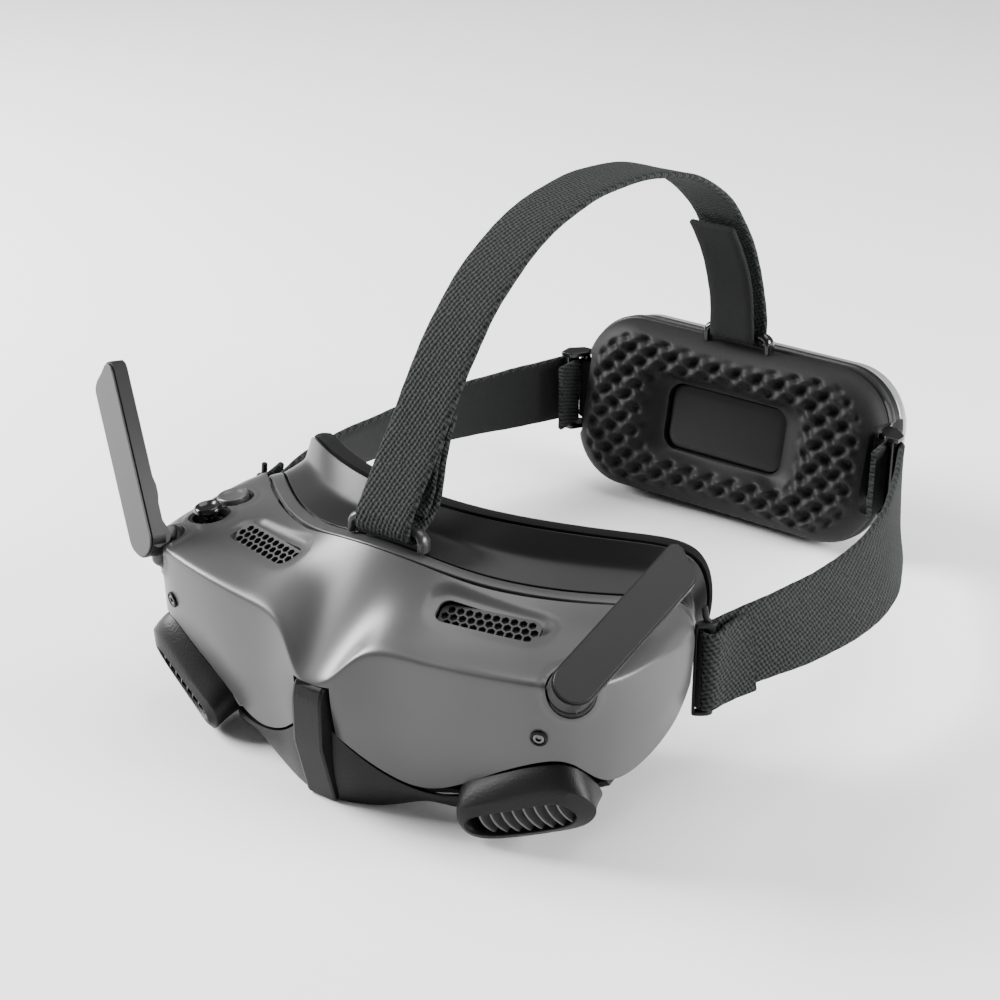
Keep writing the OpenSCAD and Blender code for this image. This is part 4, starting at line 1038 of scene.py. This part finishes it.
TOP_ROUTE = [
    [38.6, 82.4], [44.8, 90.2], [51.4, 98.4], [58, 107.8], [67.5, 120.6], [81.2, 135.2],
    [103, 148.4], [128, 154.4],
    [158, 154.6], [188, 148.2], [210, 138], [226, 125], [238.6, 107.5], [246, 90], [249, 79],
]
TAIL_ROUTE = [[47.6, 77.9], [51.6, 80.6], [53.2, 86], [54, 92.4], [56.4, 99.6], [60.4, 107]]
INNER_TAIL_ROUTE = [[44.6, 79.6], [48.2, 82.6], [50.2, 87.6], [51.8, 94], [54.6, 100.6]]
TAB_ROUTE = [[242.9, 77], [242.3, 84.6], [239.4, 94.5], [234.2, 105], [227.8, 114.6], [225.2, 117.8]]
TAB_SHIFT = 1.0
SIDE_ROUTE = [
    [[86.3, 88, 38.3], 4], [[90, 98.5, 38.6], 9], [[96, 117, 38.2], 18], [[99.2, 138, 37], 26],
    [[99.6, 158, 36], 28],
    [[97, 176, 35.2], 24], [[91.6, 194, 34.6], 16], [[84, 212, 34.4], 9], [[76.2, 229, 34.3], 3],
]
PANEL_ROUTE = [[[90.3, 85.6, 38.2], 3], [[91.3, 90.2, 38.5], 6], [[93, 95, 38.7], 9]]


def build_straps():
    n = 14
    front = BRACKET + arr(-WRAP_R + 0.6, 3)
    rear = PACK_BAR + arr(WRAP_R - 0.1, 2)
    path = wrap_yz(BRACKET, 268, 170, 14) + in_yz([front] + TOP_ROUTE + [rear], n)
    path += wrap_yz(PACK_BAR, -10, -88, 10)
    settle(webbing("top_strap_web", path, TOP_W, STRAP_T, "web"), "top_strap")
    path = wrap_yz(BRACKET, 271, 310, 6) + in_yz([BRACKET + arr(3.4, -1.4)] + TAIL_ROUTE, n)
    settle(webbing("top_strap_fold", path, TOP_W, STRAP_T, "web"), "top_strap_tail")
    path = in_yz(INNER_TAIL_ROUTE, n)
    settle(webbing("top_strap_inner_fold", path, TOP_W - 0.8, 1.5, "web"))
    path = wrap_yz(PACK_BAR, 269, 180, 12) + in_yz([PACK_BAR + arr(-WRAP_R - 0.2, 2)] + TAB_ROUTE, n)
    path = [(p - arr(TAB_SHIFT, 0, 0), across) for p, across in path]
    tab = webbing("top_strap_end", path, TOP_W - 2 * TAB_SHIFT, STRAP_T, "web_smooth")
    settle(tab, "top_strap_tab")
    for side, flip in SIDES:
        start = [[ANCHOR_AT + arr(-SIDE_WRAP - 0.1, 2, 0), 0]]
        path = wrap_xy(ANCHOR_AT, -92, -180, 10) + leaning(start + SIDE_ROUTE, n)
        path += wrap_xy(BUCKLE_AT, 25, 180, 16)
        path += [(BUCKLE_AT + arr(-SIDE_WRAP + 0.03 * d, -d, 0), UP) for d in (2, 4, 6, 8, 10)]
        strap = webbing("side_strap_web_" + side, path, SIDE_W, STRAP_T, "web", flip, inner="web_smooth")
        settle(strap, "side_strap_" + side)
        start = [[ANCHOR_AT + arr(SIDE_WRAP + 0.2, 2, 0), 0]]
        path = wrap_xy(ANCHOR_AT, -88, 0, 10) + leaning(start + PANEL_ROUTE, n)
        fold = webbing("side_strap_fold_" + side, path, SIDE_W, STRAP_T, "web", flip)
        settle(fold, "side_panel_" + side)


def staple(name, half, y, z_bar, z_foot, look, lean=0.0):
    """A round bar across the strap whose ends bend down into flat feet."""
    corner = 2.6
    path, widths = [], []
    for s in (-1, 1):
        part = [(s * half, z_foot + (z_bar - z_foot - corner) * f) for f in np.linspace(0, 1, 5)]
        part += [
            (s * (half - corner + corner * math.cos(a)), z_bar - corner + corner * math.sin(a))
            for a in np.linspace(0, math.pi / 2, 8)[1:]
        ]
        width = [2.6] * 5 + list(np.linspace(2.6, 1.75, 7))
        path += part[::-s]
        widths += width[::-s]
    path = [(x, y + lean * (z_bar - z), z) for x, z in path]
    return tube(name, path, arr(0, 1, 0), widths, 1.5, look)


def side_plate(name, ring, z, half_t, look, width, flip):
    """Flat end plate of a side fitting, its outline taken in the XY plane."""
    plate = lofted(name, handed(levels(ring, (z - half_t, z + half_t)), flip), look)
    settle(bevel(plate, width, 2, 50))


def build_buckle_bars(side, flip):
    pts = [BUCKLE_AT + arr(0, 0, SIDE_FITTING * s) for s in (-1, -0.5, 0, 0.5, 1)]
    bar = tube("buckle_bar_" + side, pts, ACROSS, 1.6, 1.6, "gloss", flip=flip)
    settle(bar, *replaced_once(side, "buckles"))
    pts = [p + BUCKLE_BACK for p in pts]
    settle(tube("buckle_back_bar_" + side, pts, ACROSS, 1.6, 1.6, "gloss", flip=flip))


def build_anchor(side, flip):
    """Where a side strap meets the shell: its bar, a dark strip that stands in for the shaded gap between
    shell and strap, the arm to the shell and two end plates.
    """
    half = SIDE_FITTING
    pts = [ANCHOR_AT + arr(0, 0, s * (half + 0.5)) for s in (-1, -0.4, 0, 0.4, 1)]
    bar = tube("anchor_bar_" + side, pts, ACROSS, ANCHOR_R, ANCHOR_R, "trim", flip=flip)
    settle(bar, *replaced_once(side, "strap_anchors"))
    # A thin dark strip along the bar, on the shell's side of the strap, fills the gap there: painted shade
    # standing in for the shaded gap.
    towards, aside = arr(-0.64, -0.77, 0), arr(0.77, -0.64, 0)
    pts = [ANCHOR_AT + 4.3 * towards + arr(0, 0, s * half) for s in (-1, -0.4, 0, 0.4, 1)]
    settle(tube("anchor_gap_shade_" + side, pts, aside, 0.8, 0.5, "trim", flip=flip))
    top = ANCHOR_AT + arr(0, 0, half)
    arm = open_curve([top, ANCHOR_AT + arr(-1, -0.2, half + 1), arr(85.2, 80.1, 55), arr(84.8, 80, 58.5)], 4)
    settle(tube("anchor_arm_" + side, arm, ACROSS, 1.0, 1.0, "trim", flip=flip))
    drop = np.array([-a * towards[:2] + b * aside[:2] for a, b in ANCHOR_DROP])
    drop = closed_curve(drop, 4) + ANCHOR_AT[:2]
    for s, end in ENDS:
        side_plate(f"anchor_plate_{side}_{end}", drop, ANCHOR_AT[2] + s * half, 0.7, "trim", 0.3, flip)


def build_buckle_ends(side, flip):
    """The buckle's tongue of tape, wrapped round the back bar, and its two end plates."""
    c, r = BUCKLE_AT + BUCKLE_BACK, 2.2
    path = [(arr(x, c[1] - r, c[2]), UP) for x in (59.4, 61.4, 63)]
    path += [(c + r * arr(math.sin(k), -math.cos(k), 0), UP) for k in np.linspace(0, math.pi, 9)]
    path += [(arr(x, c[1] + r, c[2]), UP) for x in (63, 61.4, 59.4)]
    settle(webbing("buckle_tongue_" + side, path, 24.0, 0.9, "web_smooth", flip))
    ring = closed_curve(np.repeat(BUCKLE_PLATE, 2, axis=0), 3) + BUCKLE_AT[:2]
    for s, end in ENDS:
        z = BUCKLE_AT[2] + SIDE_FITTING * s
        side_plate(f"buckle_plate_{side}_{end}", ring, z, 0.9, "gloss", 0.35, flip)


def build_fittings():
    bracket = staple("top_bracket_staple", TOP_W / 2 + 3.0, *BRACKET, 71.6, "smooth")
    settle(bracket, "top_bracket")
    loop = staple("pack_loop_staple", TOP_W / 2 + 2.8, *PACK_BAR, 64.6, "gloss", lean=0.12)
    settle(loop, "pack_loop")
    for side, flip in SIDES:
        build_buckle_bars(side, flip)
        build_anchor(side, flip)
        build_buckle_ends(side, flip)


build_straps()
build_fittings()

# ---------------------------------------------------------------- battery pack and head pad

PACK_HOLE_X = 40
PLATE_HALF, PAD_OPENING = (24.6, 12.4), (25.0, 12.8)
PAD_EDGE, PAD_RISE, PAD_BOWL, PAD_BACK = 12.5, 8.9, 5.6, 3.78
BUMP_PITCH = 4.5


def pack_notches(y0, y1):
    """Cutters for the two notches in which the side straps meet the pack."""
    ring = rounded_rect(8, SIDE_W / 2 + 4, 4)
    return [hole(ring + arr(s * (PACK_W + 3), 0), (y0, y1), (PACK_AT, PACK_TURN), 1) for s in (-1, 1)]


def pack_rings(name, rings, look):
    """Solid through rounded rectangles (half width, half height, corner radius, y, rise), front to back."""
    corner_steps = 24
    loops = []
    for w, h, r, y, rise in rings:
        loops += levels(rounded_rect(w, h, r, corner_steps) + arr(0, rise), (y,), 1)
    return lofted(name, placed(loops, PACK_AT, PACK_TURN), look, sharp=35)


def notched(obj):
    return bevel(cut(obj, pack_notches(-12, 16)), 0.5, 3, 40)


def build_pack():
    w, h, c = PACK_W, PACK_H, CORNER
    frame_rings = [
        (w - 2, h - 2, c - 2, 4.0, 0.1), (w - 0.6, h - 0.6, c - 0.6, 4.25, 0.15), (w, h, c, 5.0, 0.2),
        (w, h, c, 8.4, 0.2), (w - 0.25, h - 0.3, c, 8.9, 0.3), (w - 0.9, h - 1.0, c, 9.1, 0.5),
        (w - 0.9, h - 1.0, c, 13.9, 0.7), (w - 3, h - 3, c - 2, 14.0, 0.7),
    ]
    frame_piece = notched(pack_rings("pack_frame_moulding", frame_rings, "trim"))
    settle(frame_piece, "pack_frame")
    cover_rings = [
        (w - 2, h - 3, c - 2, 14.2, 0.9), (w - 0.9, h - 1.7, c - 0.6, 14.35, 0.9),
        (w - 0.5, h - 1.3, c, 15.0, 0.9),
        (w - 0.6, h - 1.4, c, 18.6, 1.0), (w - 1.2, h - 2.0, c, 20.6, 1.15),
        (w - 2.6, h - 3.2, c - 0.6, 22.4, 1.4),
        (w - 5.0, h - 5.4, c - 2, 23.7, 1.55), (w - 9, h - 9, c - 5, 24.3, 1.6),
        (w - 24, h - 20, 8, 24.5, 1.6),
    ]
    cover = notched(pack_rings("pack_cover_moulding", cover_rings, "cover"))
    button_hole = circle(3.7, 48) + arr(PACK_HOLE_X, h - 14)
    socket_hole = rounded_rect(5, 1.8, 1.0) + arr(PACK_HOLE_X, 14 - h)
    at = (PACK_AT, PACK_TURN)
    cut(cover, [hole(ring, (17, 27), at, 1) for ring in (button_hole, socket_hole)])
    settle(cover, "pack_cover")
    build_pad()
    w, h = PLATE_HALF
    plate_rings = [
        (w - 12, h - 9, 2.0, 2.2, 0), (w - 3.4, h - 3.4, 3.4, 2.1, 0), (w - 1.4, h - 1.4, 4.6, 2.15, 0),
        (w - 0.4, h - 0.4, 5.3, 2.35, 0), (w, h, 5.6, 2.8, 0), (w, h, 5.6, 3.7, 0),
    ]
    settle(pack_rings("pad_plate_moulding", plate_rings, "shroud"), "pad_plate")


def even_outline(half_w, half_h, r, count):
    """Points on a rounded rectangle by direction, so two of them correspond."""
    pts = rounded_rect(half_w, half_h, r, 40)
    angles = np.unwrap(np.arctan2(pts[:, 1] / half_h, pts[:, 0] / half_w))
    wanted = np.linspace(0, 2 * math.pi, count, endpoint=False)
    angles = np.append(angles, angles[0] + 2 * math.pi)
    pts = np.vstack([pts, pts[:1]])
    wanted = np.where(wanted < angles[0], wanted + 2 * math.pi, wanted)
    return np.column_stack([np.interp(wanted, angles, pts[:, 0]), np.interp(wanted, angles, pts[:, 1])])


def pad_height(x, z, d_out, d_in, reach):
    """Height of the foam's face; d_out and d_in are the distances from its outer and inner outline."""
    edge = np.clip(d_out / PAD_EDGE, 0, 1)
    height = 3.75 - PAD_RISE * np.sqrt(np.clip(1 - (1 - edge) ** 2, 0, 1))
    slope = 7.0 + 6.0 * smooth(15, 26, reach)
    height = height + PAD_BOWL * (1 - smooth(0.0, 1.0, d_in / slope)) * smooth(0.4, 1.0, edge)
    mask = smooth(5.4, 10.5, d_out) * smooth(0.35, 0.95, d_in / slope)
    k = math.pi / BUMP_PITCH
    lattice = np.cos(k * (x + 0.35 * np.sin(z * 0.9))) * np.cos(k * (z + 0.3 * np.sin(x * 0.7)))
    return height + mask * (2.3 * np.maximum(lattice, 0) - 1.2 * np.maximum(-lattice, 0))


def build_pad():
    """Egg-crate foam: a rounded border, staggered bumps and a dished opening over the plate."""
    count, steps = ((520, 96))
    outer = even_outline(PACK_W - 0.6, PACK_H - 0.6, CORNER - 0.4, count)
    inner = even_outline(*PAD_OPENING, 6, count)
    s = np.linspace(0, 1, steps)
    grid = outer[None] + s[:, None, None] * (inner - outer)[None]
    x, z = grid[..., 0], grid[..., 1]
    span = np.linalg.norm(inner - outer, axis=1)[None]
    reach = np.abs(inner[:, 0])[None]
    height = pad_height(x, z, s[:, None] * span, (1 - s)[:, None] * span, reach)
    face = np.stack([x, height, z], -1).reshape(-1, 3)
    back = [levels(ring, (PAD_BACK,), 1)[0] for ring in (inner, outer)]
    verts = placed_loop(np.concatenate([face] + back), PACK_AT, PACK_TURN)
    faces = []
    rows = steps + 2
    for i in range(rows):
        for j in range(count):
            j2 = (j + 1) % count
            i2 = (i + 1) % rows
            faces.append((i * count + j, i * count + j2, i2 * count + j2, i2 * count + j))
    pad = outward(make("head_pad_foam", verts, faces, "pad", sharp=70))
    settle(cut(pad, pack_notches(-14, 12)), "head_pad")


build_pack()

# ---------------------------------------------------------------- camera, floor and light

TARGET = Vector((0.040, 0.033, 0.096))
AZIMUTH, ELEVATION, DISTANCE = math.radians(35.5), math.radians(26.0), 0.605
LENS = 77.4
# name, place, point aimed at, size, watts
LIGHTS = [
    ("key", (-1.0, -0.2, 0.62), (0.0, 0.02, 0.05), (0.6, 0.6), 47.0),
    ("top", (0.1, 0.5, 1.3), (0.0, 0.1, 0.05), (1.4, 1.0), 18.0),
    ("side", (1.05, 0.45, 0.42), (0.05, 0.05, 0.05), (0.6, 0.5), 27.0),
]
WORLD_STRENGTH, FLOOR_HALF, FLOOR_WHITE = 0.22, 4.0, 0.93


def set_camera():
    back = Vector((
        math.sin(AZIMUTH) * math.cos(ELEVATION),
        -math.cos(AZIMUTH) * math.cos(ELEVATION),
        math.sin(ELEVATION),
    ))
    data = bpy.data.cameras.new("camera")
    data.lens = LENS
    data.sensor_width = 36.0
    data.clip_start = 0.01
    camera = linked("camera", data)
    camera.location = TARGET + back * DISTANCE
    camera.rotation_euler = (-back).to_track_quat("-Z", "Y").to_euler()
    bpy.context.scene.camera = camera


def area_light(name, place, aim, size, power):
    data = bpy.data.lights.new(name, "AREA")
    data.shape = "RECTANGLE"
    data.size, data.size_y = size
    data.energy = power
    light = linked(name, data)
    light.location = place
    light.rotation_euler = (Vector(aim) - Vector(place)).to_track_quat("-Z", "Y").to_euler()


def set_stage():
    data = bpy.data.meshes.new("floor")
    s = FLOOR_HALF
    data.from_pydata([(-s, -s, 0), (s, -s, 0), (s, s, 0), (-s, s, 0)], [], [(0, 1, 2, 3)])
    floor = linked("floor", data)
    mat, tree, shader = node_material("floor_paper")
    fill(tree, shader, Base_Color=(FLOOR_WHITE, FLOOR_WHITE, FLOOR_WHITE, 1), Roughness=0.8)
    data.materials.append(mat)
    world = bpy.data.worlds.new("studio")
    world.use_nodes = True
    background = world.node_tree.nodes["Background"]
    fill(world.node_tree, background, Color=(1, 1, 1, 1), Strength=WORLD_STRENGTH)
    bpy.context.scene.world = world
    for light in LIGHTS:
        area_light(*light)


# The looks of the CAD nodes that no piece of this script stands for.
CAD_LOOK = {
    "dark": (
        "lens_plate fan_housing fan_rotor carriage_left carriage_right lens_cell_left "
        "lens_cell_right"
    ),
    "steel": "guide_rods hinge_pins card_socket power_socket",
    "board": "main_board pack_board",
    "trim": "control_housing",
    "gloss": "joystick_ring joystick_core",
    "screen": "display_left display_right",
    "glass": "lens_left lens_right",
    "shroud": "eye_knob_left eye_knob_right",
    "cell": "battery_cells",
    "band": "power_button",
}
for cad_look, node_names in CAD_LOOK.items():
    for node_name in node_names.split():
        NODES[node_name].data.materials.clear()
        NODES[node_name].data.materials.append(MAT[cad_look])

set_camera()
set_stage()
